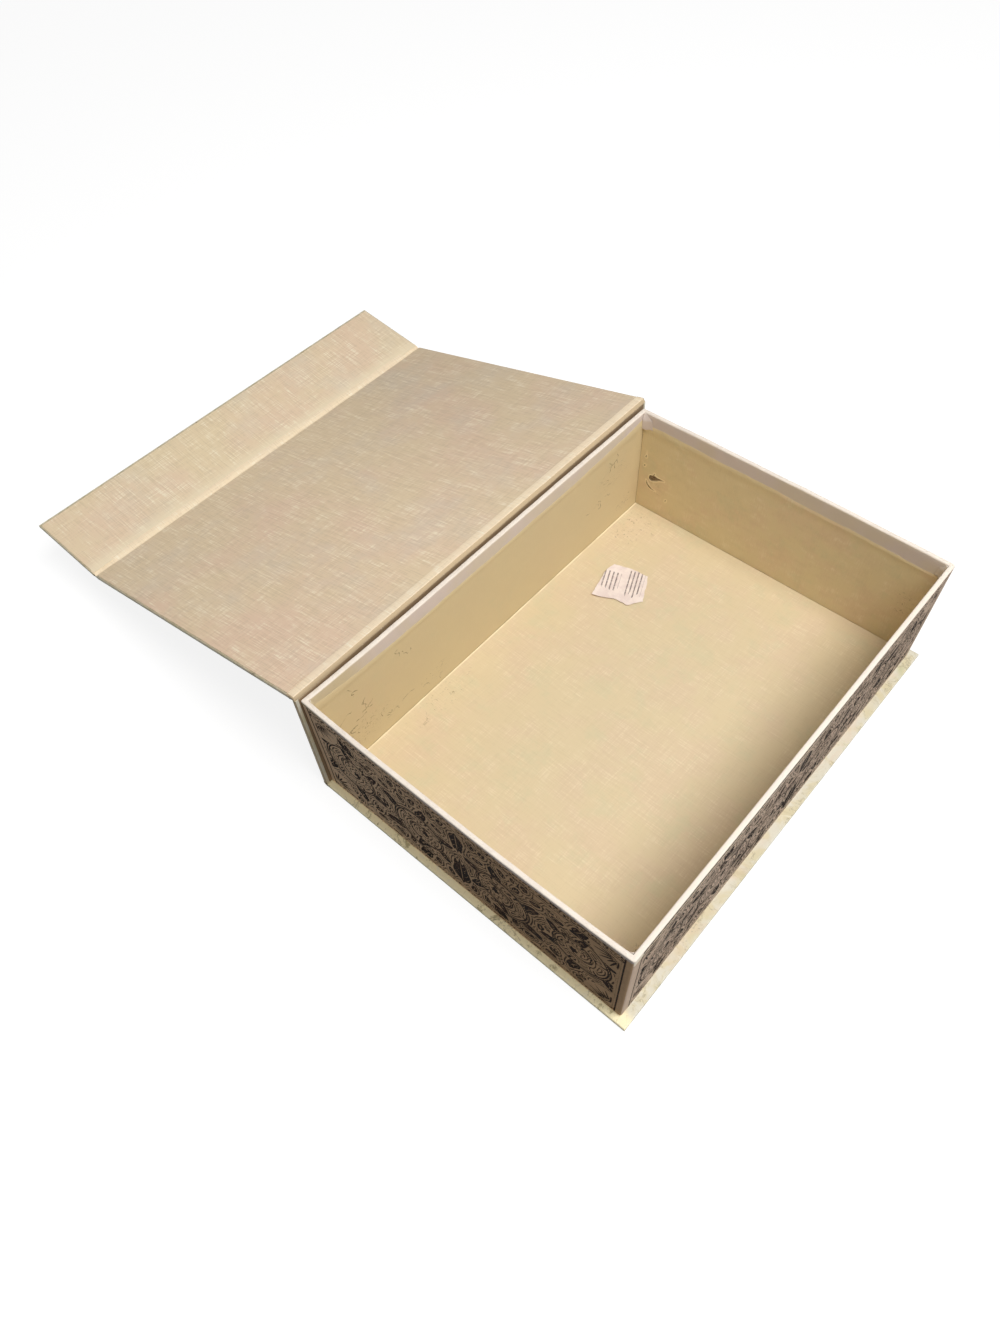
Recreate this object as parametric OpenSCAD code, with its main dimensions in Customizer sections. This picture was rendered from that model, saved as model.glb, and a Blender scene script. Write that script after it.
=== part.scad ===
// Book-style photo storage box.
// A papered tray is glued to a case of four boards: base, spine, lid and flap.
// Origin: middle of the tray, on the underside of the base.
// X runs from the hinge to the front, Y along the hinge, Z up. The lid is drawn open.

/* [Room inside the tray] */
// Width of the room, from the hinge side to the front
inner_w = 216; // [190:1:240]
// Length of the room, along the hinge
inner_l = 306; // [260:1:340]
// Depth of the room, from the floor lining to the rim
inner_h = 82; // [75:1:100]

/* [Boards] */
// Thickness of the four wall boards
wall_board = 2.4; // [2:0.1:3]
// Thickness of the tray's floor board
floor_board = 3; // [2:0.1:4]
// Thickness of the base, spine, lid and flap boards
case_board = 2.4; // [2:0.1:3]

/* [Papers] */
// Thickness of every covering and lining paper
paper = 0.3; // [0.2:0.05:0.4]
// Radius of the papered edges
edge_round = 0.8; // [0.6:0.1:1]
// How far the side papers reach down inside the rim
rim_turn_in = 14; // [10:1:18]
// How far the wall linings lap over that turn-in
liner_lap = 3; // [2:0.5:5]
// How far the side papers reach under the tray
turn_under = 12; // [8:1:20]
// How far the case's covering paper is turned in over a board
case_turn_in = 15; // [10:1:20]
// Border left bare between a case lining and the edge of its board
liner_inset = 2.2; // [1.5:0.1:4]

/* [Case] */
// How far the base stands out past the front wall
front_square = 5.8; // [4.5:0.1:8]
// How far the case boards stand out past each end of the tray
end_square = 4.2; // [3:0.1:6]
// Height of the spine board's upper edge above the rim
spine_rise = 2.4; // [2:0.1:2.8]
// Slope of the open lid below the horizontal, in degrees
lid_slope = 14.6; // [8:0.1:15]
// Length of the flap from its crease to its free edge
flap_l = 62.5; // [45:0.5:70]
// How far the open flap stands folded inwards from the lid's plane, in degrees
flap_fold = 22.6; // [5:0.1:40]

/* [Paper joints] */
// Width of the paper joint from the hinge line to the lid board
lid_joint = 6; // [5:0.5:8]
// Outer radius of the roll that the papers make over the spine
hinge_roll = 2.5; // [2.3:0.1:2.8]
// Distance from the tray's back to the inner side of that roll
roll_setback = 0.9; // [0.6:0.1:1.2]
// Depth of the flap's fold line below the lining
crease_depth = 2; // [1.6:0.1:2.4]

/* [Clearances] */
// Gap between the rim and the closed lid
lid_gap = 0.3; // [0.3:0.1:0.8]
// Gap between the front wall and the closed flap
flap_gap = 0.4; // [0.3:0.1:1]
// Room between the lid's and the flap's corners when the flap is folded square
crease_gap = 0.3; // [0.2:0.1:0.6]
// Gap between the floor lining and the wall linings
floor_gap = 0.4; // [0.2:0.1:1]
// Gap around each magnet in its pocket
magnet_gap = 0.1; // [0.05:0.05:0.3]

/* [Closing magnets] */
// Diameter of a magnet
magnet_d = 12; // [8:1:18]
// Thickness of a magnet
magnet_t = 1.5; // [1:0.1:1.8]
// Distance between the two magnets of a pair
magnet_spread = 160; // [80:5:220]
// Distance from the flap's crease to the middle of its magnets
magnet_drop = 40; // [25:1:45]

/* [Torn label] */
// Place of the scrap's middle, from the tray's middle towards the front
label_x = -65; // [-85:1:85]
// Place of the scrap's middle, along the tray
label_y = 80; // [-120:1:120]

/* [Hidden] */

// Colours
greyboard = [0.62, 0.58, 0.52];
cream = [0.86, 0.80, 0.64];
lining = [0.90, 0.79, 0.62];
linen = [0.80, 0.71, 0.61];
printed = [0.44, 0.37, 0.34];
label_white = [0.90, 0.84, 0.80];
magnet_grey = [0.55, 0.56, 0.58];

// Roundness of the small edges and of the magnets
edge_steps = 24;
disc_steps = 64;
// How far a bend of paper runs into the straight stretch next to it, in degrees
seam_lap = 5;

// Tray
wall_t = wall_board + 2 * paper;
tray_w = inner_w + 2 * wall_t;
tray_l = inner_l + 2 * wall_t;
board_face = paper + wall_board;
tray_z = case_board + 2 * paper;
floor_board_z = tray_z + paper;
floor_top = floor_board_z + floor_board;
room_z = floor_top + paper;
rim_z = room_z + inner_h;
turn_in_z = rim_z - rim_turn_in;

// Case
case_l = tray_l + 2 * end_square;
spine_t = case_board + 2 * paper;
back_x = -tray_w / 2;
front_x = tray_w / 2 + front_square;
hinge_x = back_x - spine_t;
hinge_z = rim_z + spine_rise;

// Heights across the lid's thickness, measured from the hinge line towards the lining
lid_lap_face = spine_rise - lid_gap;
lid_face = lid_lap_face - paper;
lid_board_top = lid_face - paper;
lid_board_low = lid_board_top - case_board;
lid_back = lid_board_low - paper;

// Crease between lid and flap, as a distance from the hinge line and a height on the lid
crease_s = spine_t + tray_w + flap_gap + crease_depth;
crease_t = lid_lap_face - crease_depth;
crease_half = crease_depth + crease_gap;
lid_end = crease_s - crease_half;
magnet_z = hinge_z - crease_t - magnet_drop;

// Middle of the hinge roll, measured from the hinge line: the roll touches an upright line
// behind the tray and the plane of the lid's lining
roll_x = spine_t - roll_setback - hinge_roll;
roll_z = (lid_face - hinge_roll + sin(lid_slope) * roll_x) / cos(lid_slope);

// Torn outline of the label scrap, about its middle
label_outline = [[-12, -20], [-7, -19], [3, -12], [13, -12], [19, -2], [8, 19], [-1, 19], [-18, 13]];

// Flat shapes

// Rectangle with round corners, from the origin
module rounded_rect(w, h, r) {
    translate([r, 0]) square([w - 2 * r, h]);
    translate([0, r]) square([w, h - 2 * r]);
    for (x = [r, w - r], y = [r, h - r])
        translate([x, y]) circle(r, $fn = edge_steps);
}

// Sector of a ring about the origin, from one angle to another less than half a turn on.
// Its ends run on by a few degrees, inside the straight stretches that they join
module ring_sector(inner_r, outer_r, from, to) {
    far = 2 * outer_r;
    angles = [from - seam_lap, (from + to) / 2, to + seam_lap];
    intersection() {
        difference() {
            circle(outer_r, $fn = disc_steps);
            circle(inner_r, $fn = disc_steps);
        }
        polygon([[0, 0], for (a = angles) far * [cos(a), sin(a)]]);
    }
}

// Draws a flat shape of X and Z along the whole length of the case
module along_case() {
    rotate([90, 0, 0]) linear_extrude(case_l, center = true) children();
}

// Frames

// Puts a piece drawn at a wall's outer face, with X inwards, on that wall of the tray
module at_wall(side) {
    long = side == "front" || side == "back";
    turn = side == "back" ? 0 : side == "front" ? 180 : side == "near" ? 90 : -90;
    rotate([0, 0, turn]) translate([long ? -tray_w / 2 : -tray_l / 2, 0, 0]) children();
}

function wall_length(side) = side == "front" || side == "back" ? tray_l : tray_w;

// On the lid, X runs from the hinge line to the crease and Z towards the lining
module on_lid() {
    translate([hinge_x, 0, hinge_z]) rotate([0, lid_slope, 180]) children();
}

// On the flap, X runs from the crease to the free edge and Z is measured as on the lid
module on_flap() {
    on_lid() translate([crease_s, 0, crease_t]) rotate([0, -flap_fold, 0])
        translate([0, 0, -crease_t]) children();
}

// Tray

// Upright block of the tray's outline, its corners rounded, drawn in by inset
module tray_block(inset) {
    translate([-tray_w / 2 + inset, -tray_l / 2 + inset, tray_z + inset])
        linear_extrude(rim_z - tray_z - 2 * inset)
            rounded_rect(tray_w - 2 * inset, tray_l - 2 * inset, edge_round - inset);
}

// Wall board between its papers, its top edge rounded like the rim
module wall_board_shape(side) {
    long = side == "front" || side == "back";
    length = wall_length(side) - 2 * (long ? paper : board_face);
    color(greyboard) intersection() {
        at_wall(side) rotate([90, 0, 0]) linear_extrude(length, center = true)
            translate([paper, floor_board_z])
                rounded_rect(wall_board, rim_z - paper - floor_board_z, edge_round - paper);
        tray_block(paper);
    }
}

// Strip along a wall from a flat shape, cut at 45 degrees where it meets the next wall's strip
module mitred_strip(side, depth) {
    half = wall_length(side) / 2;
    intersection() {
        at_wall(side) intersection() {
            rotate([90, 0, 0]) linear_extrude(2 * half, center = true) children();
            linear_extrude(rim_z)
                polygon([[0, half], [0, -half], [depth, depth - half], [depth, half - depth]]);
        }
        tray_block(0);
    }
}

// Paper round a wall: under the tray, up the outside, over the rim and down the inside
module side_paper(side) {
    color(printed) mitred_strip(side, turn_under) difference() {
        union() {
            translate([0, tray_z]) rounded_rect(wall_t, rim_z - tray_z, edge_round);
            translate([edge_round, tray_z]) square([turn_under - edge_round, paper]);
        }
        translate([paper, floor_board_z])
            rounded_rect(wall_board, rim_z - paper - floor_board_z, edge_round - paper);
        translate([board_face, floor_board_z])
            square([turn_under, turn_in_z - floor_board_z]);
        translate([board_face - edge_round, floor_board_z]) square([edge_round, edge_round]);
    }
}

// Lining of a wall: on the board up to the turn-in, then stepped over the turn-in's edge
module wall_liner(side) {
    color(lining) mitred_strip(side, board_face + 2 * paper) {
        translate([board_face, floor_top]) square([paper, turn_in_z - floor_top]);
        translate([board_face + paper, turn_in_z - paper]) square([paper, liner_lap + paper]);
    }
}

module tray_floor_board() {
    color(greyboard) translate([board_face - tray_w / 2, board_face - tray_l / 2, floor_board_z])
        cube([tray_w - 2 * board_face, tray_l - 2 * board_face, floor_board]);
}

module floor_liner() {
    w = inner_w - 2 * floor_gap;
    l = inner_l - 2 * floor_gap;
    color(lining) translate([-w / 2, -l / 2, floor_top]) cube([w, l, paper]);
}

module label_scrap() {
    color(label_white) translate([label_x, label_y, room_z])
        linear_extrude(paper) polygon(label_outline);
}

// Pair of discs, or of pockets for them, lying on the origin's plane with Z through them
module magnet_pair(gap = 0) {
    for (side = [-1, 1])
        translate([0, side * magnet_spread / 2, 0])
            cylinder(h = magnet_t + gap, d = magnet_d + 2 * gap, $fn = disc_steps);
}

// Puts a pair of discs in the front wall board, against the side paper
module in_front_wall() {
    translate([tray_w / 2 - paper - magnet_t, 0, magnet_z]) rotate([0, 90, 0]) children();
}

module front_magnets() {
    color(magnet_grey) in_front_wall() magnet_pair();
}

module tray_wall_front() {
    difference() {
        wall_board_shape("front");
        in_front_wall() magnet_pair(magnet_gap);
    }
}

// Case boards and their papers

// Papered board from s0 to s1 and between two heights, drawn in by inset. Its two ends are
// rounded, and its far edge too where that is free
module panel_shape(s0, s1, low, high, free, inset = 0) {
    r = edge_round - inset;
    l = case_l - 2 * inset;
    intersection() {
        translate([s0, 0, 0]) rotate([90, 0, 90]) linear_extrude(s1 - s0)
            translate([-l / 2, low]) rounded_rect(l, high - low, r);
        rotate([90, 0, 0]) linear_extrude(l, center = true)
            translate([s0 - r, low]) rounded_rect(s1 - s0 + (free ? r : 2 * r), high - low, r);
    }
}

// Board of a case panel whose outer paper starts at height low
module case_board_shape(s0, s1, low, free) {
    color(greyboard) panel_shape(s0, s1 - (free ? paper : 0), low + paper,
        low + paper + case_board, free, paper);
}

// Covering paper of a panel: its outer side, its edges and the turn-in on its inner side
module cover_shape(s0, s1, low, free) {
    high = low + 2 * paper + case_board;
    color(cream) difference() {
        panel_shape(s0, s1, low, high, free);
        case_board_shape(s0, s1, low, free);
        translate([s0, case_turn_in - case_l / 2, high - paper])
            cube([s1 - s0 - (free ? case_turn_in : 0), case_l - 2 * case_turn_in, paper]);
    }
}

// Lining of a panel: on the board, then stepped over the edge of the turn-in
module liner_shape(s0, s1, low, free) {
    board_high = low + paper + case_board;
    turned = free ? case_turn_in : 0;
    step = free ? case_turn_in + paper : 0;
    border = case_l - 2 * liner_inset;
    middle = case_l - 2 * case_turn_in;
    color(linen) {
        translate([s0, -middle / 2, board_high]) cube([s1 - s0 - turned, middle, paper]);
        difference() {
            translate([s0, -border / 2, board_high + paper])
                cube([s1 - s0 - (free ? liner_inset : 0), border, paper]);
            translate([s0, paper - middle / 2, board_high + paper])
                cube([s1 - s0 - step, middle - 2 * paper, paper]);
        }
    }
}

module base_board() {
    case_board_shape(back_x, front_x, 0, true);
}

module base_cover_paper() {
    cover_shape(back_x, front_x, 0, true);
}

// The spine is drawn lying down, with X up the spine and Z towards the tray
module on_spine() {
    translate([hinge_x, 0, tray_z]) rotate([0, -90, 180]) children();
}

module spine_board() {
    on_spine() case_board_shape(0, hinge_z - tray_z, 0, false);
}

// Covering paper of the spine: its outer side and ends, and the fold under the box
module spine_cover_paper() {
    on_spine() color(cream) difference() {
        panel_shape(0, hinge_z - tray_z, 0, spine_t, false);
        case_board_shape(0, hinge_z - tray_z, 0, false);
        translate([0, liner_inset - case_l / 2, spine_t - paper])
            cube([hinge_z - tray_z, case_l - 2 * liner_inset, paper]);
    }
    color(cream) along_case() translate([back_x, tray_z])
        intersection() {
            difference() {
                circle(spine_t, $fn = disc_steps);
                circle(spine_t - paper, $fn = disc_steps);
            }
            translate([-spine_t, -spine_t]) square(spine_t);
        }
}

// Lining of the spine, which runs on under the back of the tray
module spine_liner() {
    upright = case_l - 2 * liner_inset;
    foot = case_l - 2 * case_turn_in;
    color(linen) {
        translate([back_x - paper, -upright / 2, tray_z]) cube([paper, upright, hinge_z - tray_z]);
        translate([back_x - paper, -foot / 2, tray_z - paper])
            cube([case_turn_in + paper, foot, paper]);
    }
}

// Both papers over the spine, glued together: over the spine's edge, round the roll, along
// the joint and down the edge of the lid board
module lid_hinge_paper() {
    double = 2 * paper;
    color(linen) translate([hinge_x, 0, hinge_z]) along_case() {
        square([spine_t, paper]);
        intersection() {
            translate([roll_x, roll_z])
                ring_sector(hinge_roll - double, hinge_roll, -80, 90 + lid_slope);
            translate([-hinge_roll, 0]) square([2 * hinge_roll + spine_t, 2 * hinge_roll]);
        }
    }
    on_lid() color(linen) along_case() {
        roll_s = -roll_x * cos(lid_slope) - roll_z * sin(lid_slope);
        translate([roll_s, lid_face - double]) square([lid_joint - roll_s, double]);
        translate([lid_joint - paper, lid_back]) square([paper, lid_face - lid_back]);
    }
}

module lid_board() {
    on_lid() case_board_shape(lid_joint, lid_end, lid_back, false);
}

module lid_cover_paper() {
    on_lid() cover_shape(lid_joint, lid_end, lid_back, false);
}

module lid_liner() {
    on_lid() liner_shape(lid_joint, lid_end, lid_back, false);
}

// Both papers across the crease, glued together and bent round the fold line
module flap_hinge_paper() {
    double = 2 * paper;
    bend_r = crease_t - lid_back;
    module half_joint(from, to) {
        along_case() translate([from, lid_back]) square([to - from, double]);
    }
    color(linen) {
        on_lid() {
            half_joint(lid_end, crease_s);
            along_case() translate([lid_end, lid_back]) square([paper, lid_face - lid_back]);
            along_case() translate([crease_s, crease_t])
                ring_sector(bend_r - double, bend_r, -90, flap_fold - 90);
        }
        on_flap() {
            half_joint(0, crease_half);
            along_case() translate([crease_half - paper, lid_back])
                square([paper, lid_face - lid_back]);
        }
    }
}

// Puts a pair of discs in the flap board, against its lining
module in_flap() {
    on_flap() translate([magnet_drop, 0, lid_board_top - magnet_t]) children();
}

module flap_board() {
    difference() {
        on_flap() case_board_shape(crease_half, flap_l, lid_back, true);
        in_flap() magnet_pair(magnet_gap);
    }
}

module flap_cover_paper() {
    on_flap() cover_shape(crease_half, flap_l, lid_back, true);
}

module flap_liner() {
    on_flap() liner_shape(crease_half, flap_l, lid_back, true);
}

module flap_magnets() {
    color(magnet_grey) in_flap() magnet_pair();
}

base_board();
base_cover_paper();
spine_board();
spine_cover_paper();
spine_liner();
tray_floor_board();
tray_wall_front();
wall_board_shape("back");  // tray_wall_back
wall_board_shape("near");  // tray_wall_near
wall_board_shape("far");  // tray_wall_far
side_paper("front");  // side_paper_front
side_paper("back");  // side_paper_back
side_paper("near");  // side_paper_near
side_paper("far");  // side_paper_far
floor_liner();
wall_liner("front");  // wall_liner_front
wall_liner("back");  // wall_liner_back
wall_liner("near");  // wall_liner_near
wall_liner("far");  // wall_liner_far
label_scrap();
front_magnets();
lid_hinge_paper();
lid_board();
lid_cover_paper();
lid_liner();
flap_hinge_paper();
flap_board();
flap_cover_paper();
flap_liner();
flap_magnets();
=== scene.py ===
"""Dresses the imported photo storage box: papers, print, wear, the torn label, light and camera."""

import math

import bmesh
import bpy
import numpy as np
from mathutils import Matrix, Vector


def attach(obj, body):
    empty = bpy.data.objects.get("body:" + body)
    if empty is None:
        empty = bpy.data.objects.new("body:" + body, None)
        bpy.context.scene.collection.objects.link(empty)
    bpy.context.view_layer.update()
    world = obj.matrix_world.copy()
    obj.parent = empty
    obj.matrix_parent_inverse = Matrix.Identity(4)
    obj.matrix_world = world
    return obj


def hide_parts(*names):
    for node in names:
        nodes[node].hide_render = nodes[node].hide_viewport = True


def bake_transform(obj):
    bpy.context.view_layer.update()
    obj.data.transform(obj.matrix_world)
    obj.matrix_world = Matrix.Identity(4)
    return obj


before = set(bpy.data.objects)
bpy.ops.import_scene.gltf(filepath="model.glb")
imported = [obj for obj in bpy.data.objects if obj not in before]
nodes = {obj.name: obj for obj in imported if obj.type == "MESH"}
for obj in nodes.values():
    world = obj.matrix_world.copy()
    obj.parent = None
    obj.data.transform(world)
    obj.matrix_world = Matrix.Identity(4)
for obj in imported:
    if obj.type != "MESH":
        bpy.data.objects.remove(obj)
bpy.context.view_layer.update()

# Sizes repeated from part.scad, in millimetres like all lengths below
MM = 0.001
PAPER = 0.3
TRAY_W, TRAY_L = 222.0, 312.0
TRAY_Z, FLOOR_TOP, ROOM_Z, RIM_Z = 3.0, 6.3, 6.6, 88.6
WALL_T, BOARD_FACE, EDGE_ROUND = 3.0, 2.7, 0.8
TURN_IN_Z, TURN_UNDER = 74.6, 12.0
CASE_L = 320.4
HINGE_X, HINGE_Z = -114.0, 91.0
LID_SLOPE, FLAP_FOLD = 14.6, 22.6
LID_JOINT, LID_END, CREASE_S, CREASE_T, CREASE_HALF = 6.0, 225.1, 227.4, 0.1, 2.3
FLAP_L, CASE_TURN_IN, LINER_INSET = 62.5, 15.0, 2.2
LID_FACE, LID_BACK = 1.8, -1.2
LABEL_X, LABEL_Y = -65.0, 80.0
LABEL_TORN = [
    (-12.5, -19.4), (-8.8, -17.7), (2.8, -11.6), (12.3, -11), (18.2, -1.5), (11.3, 12.6), (7.5, 19.3),
    (-5, 18.2), (-17.4, 13.2), (-18.6, 5),
]


# Colours and node trees


def srgb(r, g, b):
    """A colour given as 0 to 255 on screen, as the linear colour that shaders take."""
    return tuple(
        c / 12.92 if c <= 0.04045 else ((c + 0.055) / 1.055) ** 2.4
        for c in (r / 255, g / 255, b / 255)
    )


def toned(colour, *by, top=2.0):
    """A linear colour times one factor, or times a factor for each channel, and at most top."""
    return tuple(min(top, c * k) for c, k in zip(colour, by * (3 // len(by))))


class Graph:
    """One material's node tree, with short calls for the nodes that the papers use."""

    def __init__(self, name):
        self.material = bpy.data.materials.new(name)
        self.material.use_nodes = True
        self.tree = self.material.node_tree
        self.tree.nodes.clear()
        self.shader = self.add("ShaderNodeBsdfPrincipled")
        self.output = self.add("ShaderNodeOutputMaterial")
        self.tree.links.new(self.shader.outputs["BSDF"], self.output.inputs["Surface"])
        self.place = self.add("ShaderNodeTexCoord").outputs["Object"]

    def add(self, kind, **settings):
        node = self.tree.nodes.new(kind)
        for key, value in settings.items():
            setattr(node, key, value)
        return node

    def feed(self, socket, value):
        if isinstance(value, bpy.types.NodeSocket):
            self.tree.links.new(value, socket)
        elif socket.type == "RGBA":
            socket.default_value = (*value, 1.0)
        else:
            socket.default_value = value

    def math(self, operation, a, b=0.0):
        node = self.add("ShaderNodeMath", operation=operation)
        self.feed(node.inputs[0], a)
        self.feed(node.inputs[1], b)
        return node.outputs[0]

    def times(self, a, b):
        return self.math("MULTIPLY", a, b)

    def number(self, name):
        """A number that the mesh carries at each of its points."""
        return self.add("ShaderNodeAttribute", attribute_name=name).outputs["Fac"]

    def scaled(self, vector, share):
        node = self.add("ShaderNodeVectorMath", operation="SCALE")
        self.feed(node.inputs[0], vector)
        self.feed(node.inputs["Scale"], share)
        return node.outputs[0]

    def ramp(self, value, low, high, start=0.0, end=1.0):
        """Smooth step of value, from start at low to end at high."""
        node = self.add("ShaderNodeMapRange", interpolation_type="SMOOTHSTEP")
        for socket, number in zip(node.inputs, (value, low, high, start, end)):
            self.feed(socket, number)
        return node.outputs[0]

    def place_ramp(self, value, low, high, start=0.0, end=1.0):
        """The same for a place in the model, whose low and high are in millimetres."""
        return self.ramp(value, low * MM, high * MM, start, end)

    def mix(self, share, a, b):
        node = self.add("ShaderNodeMix", data_type="RGBA")
        self.feed(node.inputs[0], share)
        self.feed(node.inputs[6], a)
        self.feed(node.inputs[7], b)
        return node.outputs[2]

    def noise(self, scale, detail=3.0, rough=0.5, at=None, warp=0.0, output="Fac"):
        node = self.add("ShaderNodeTexNoise")
        self.feed(node.inputs["Vector"], at or self.place)
        settings = {"Scale": scale, "Detail": detail, "Roughness": rough, "Distortion": warp}
        for key, value in settings.items():
            self.feed(node.inputs[key], value)
        return node.outputs[output]

    def moved(self, scale=(1, 1, 1), turn=(0, 0, 0), shift=(0, 0, 0), at=None):
        node = self.add("ShaderNodeMapping")
        self.feed(node.inputs["Vector"], at or self.place)
        self.feed(node.inputs["Scale"], scale)
        self.feed(node.inputs["Rotation"], turn)
        self.feed(node.inputs["Location"], shift)
        return node.outputs[0]

    def parts(self, at=None):
        node = self.add("ShaderNodeSeparateXYZ")
        self.feed(node.inputs[0], at or self.place)
        return node.outputs

    def blob(self, centre, size, edge=0.35):
        """1 within an ellipsoid about centre, fading to 0 past its half sizes. In millimetres."""
        scale = [1 / (s * MM) for s in size]
        shift = [-c * MM * k for c, k in zip(centre, scale)]
        length = self.add("ShaderNodeVectorMath", operation="LENGTH")
        self.feed(length.inputs[0], self.moved(scale, (0, 0, 0), shift))
        return self.ramp(length.outputs["Value"], 1.0, edge)

    def bump(self, height, strength, distance, normal=None):
        node = self.add("ShaderNodeBump")
        self.feed(node.inputs["Strength"], strength)
        self.feed(node.inputs["Distance"], distance * MM)
        self.feed(node.inputs["Height"], height)
        if normal is not None:
            self.feed(node.inputs["Normal"], normal)
        return node.outputs[0]

    def finish(self, colour, roughness, normal, sheen=0.0, specular=0.35):
        self.feed(self.shader.inputs["Base Color"], colour)
        self.feed(self.shader.inputs["Roughness"], roughness)
        self.feed(self.shader.inputs["Normal"], normal)
        self.feed(self.shader.inputs["Specular IOR Level"], specular)
        self.feed(self.shader.inputs["Sheen Weight"], sheen)
        return self.material


THREAD_WIDTH = 1.0
THREAD_PITCH = (1.45, 1.6)


def threads(g, at, length):
    """Slubs of two crossing sets of threads along the first two axes of at: about 0 to 1."""
    fine, long = 1 / (THREAD_WIDTH * MM), 1 / (length * MM)
    one = g.noise(1.0, 2.0, 0.6, g.moved((long, fine, fine * 0.2), at=at))
    two = g.noise(1.0, 2.0, 0.6, g.moved((fine, long, fine * 0.2), shift=(3, 7, 1), at=at))
    slubs = g.math("ADD", g.times(one, 0.58), g.times(two, 0.42))
    sway = g.times(g.noise(60, 3, 0.6, at), 9.0)
    rows = None
    for axis, pitch in zip(g.parts(at), THREAD_PITCH):
        turn = g.math("ADD", g.times(axis, 2 * math.pi / (pitch * MM)), sway)
        row = g.math("SINE", turn)
        rows = row if rows is None else g.math("ADD", rows, row)
    return g.math("ADD", slubs, g.times(rows, 0.019))


def linen_material(
    name, slope, base, pink, grey, light, painted_shade_and_cover=False, painted_glow=None, painted_shade_below=None, painted_far_shade=False
):
    """Linen-textured lining paper of a sloping panel: crossing threads, slubs and blotches."""
    g = Graph(name)
    at = g.moved(turn=(0, math.radians(slope), 0))
    weave = threads(g, at, 16.0)
    broad = g.noise(13, 5, 0.6, at)
    other = g.noise(19, 5, 0.65, g.moved(shift=(0.31, 0.12, 0.0), at=at))
    colour = g.mix(g.ramp(broad, 0.38, 0.66), base, pink)
    colour = g.mix(g.ramp(other, 0.44, 0.74, 0.0, 0.7), colour, grey)
    worn = g.noise(75, 5, 0.7, g.moved((0.6, 1.5, 1), at=at), 0.4)
    slub = g.times(g.ramp(weave, 0.50, 0.63), g.ramp(worn, 0.40, 0.62))
    colour = g.mix(g.times(slub, 0.95), colour, light)
    dark = g.ramp(weave, 0.49, 0.38, 0.0, 0.26)
    colour = g.mix(dark, colour, toned(base, 0.62))
    grain = g.noise(900, 3, 0.7)
    colour = g.mix(g.ramp(grain, 0.3, 0.7, 0.0, 0.07), colour, toned(base, 0.75))
    if painted_shade_and_cover:
        # Painted shade: where the mesh asks for it, the colour darkens towards a dark brown. The hinge roll
        # uses this on its face towards the tray, darkest in the gap above the rim.
        grime_and_painted_shade = g.number("grime_and_painted_shade")
        colour = g.mix(g.ramp(grime_and_painted_shade, 0.0, 0.5), colour, toned(base, 0.60, 0.56, 0.50))
        colour = g.mix(g.ramp(grime_and_painted_shade, 0.5, 1.0), colour, srgb(96, 78, 56))
        outside = g.number("outside")
        cream = g.mix(g.ramp(g.noise(48, 5, 0.6, warp=1.4), 0.42, 0.62), COVER, srgb(211, 201, 170))
        colour = g.mix(g.ramp(outside, 0.4, 0.6), colour, cream)
    if painted_glow is not None:
        # Painted light: the flap lining is lighter within about 16 mm of the crease.
        near = g.place_ramp(g.parts(at)[0], painted_glow - 16.0, painted_glow - 3.0, 0.0, 0.75)
        colour = g.mix(near, colour, srgb(244, 228, 196))
    if painted_shade_below:
        # Painted shade: below this height the lining turns dark brown, where it lies in the gap behind the
        # tray's rim.
        low = g.place_ramp(g.parts()[2], painted_shade_below, painted_shade_below - 2.6, 0.0, 0.9)
        colour = g.mix(low, colour, srgb(124, 98, 67))
    if painted_far_shade:
        # Painted shade: the lid lining darkens towards the far end, +Y.
        colour = g.scaled(colour, g.place_ramp(g.parts()[1], -40.0, 150.0, 1.0, 0.88))
    roughness = g.ramp(weave, 0.3, 0.7, 0.78, 0.62)
    normal = g.bump(weave, 0.45, 0.20)
    normal = g.bump(broad, 0.25, 0.6, normal)
    return g.finish(colour, roughness, normal, sheen=0.08)


def stains(g, colour, spots, tone, amount=0.8, seed=0.0, grain=420):
    """Fine dirt specks and scratches gathered in a few places, each a centre and half sizes."""
    if not spots:
        return colour
    speck = g.noise(grain, 4, 0.75, g.moved((1, 1, 1.6), shift=(seed, seed * 0.7, 0)), 0.8)
    scratch = g.noise(grain * 0.55, 5, 0.8, g.moved((0.35, 0.5, 1.4), shift=(0, seed, 0.4)), 2.2)
    marks = g.math("MAXIMUM", g.ramp(speck, 0.60, 0.70), g.ramp(scratch, 0.585, 0.66, 0.0, 0.8))
    where = None
    for centre, size in spots:
        blob = g.blob(centre, size)
        where = blob if where is None else g.math("MAXIMUM", where, blob)
    share = g.times(g.times(marks, where), amount)
    return g.mix(share, colour, tone)


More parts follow.
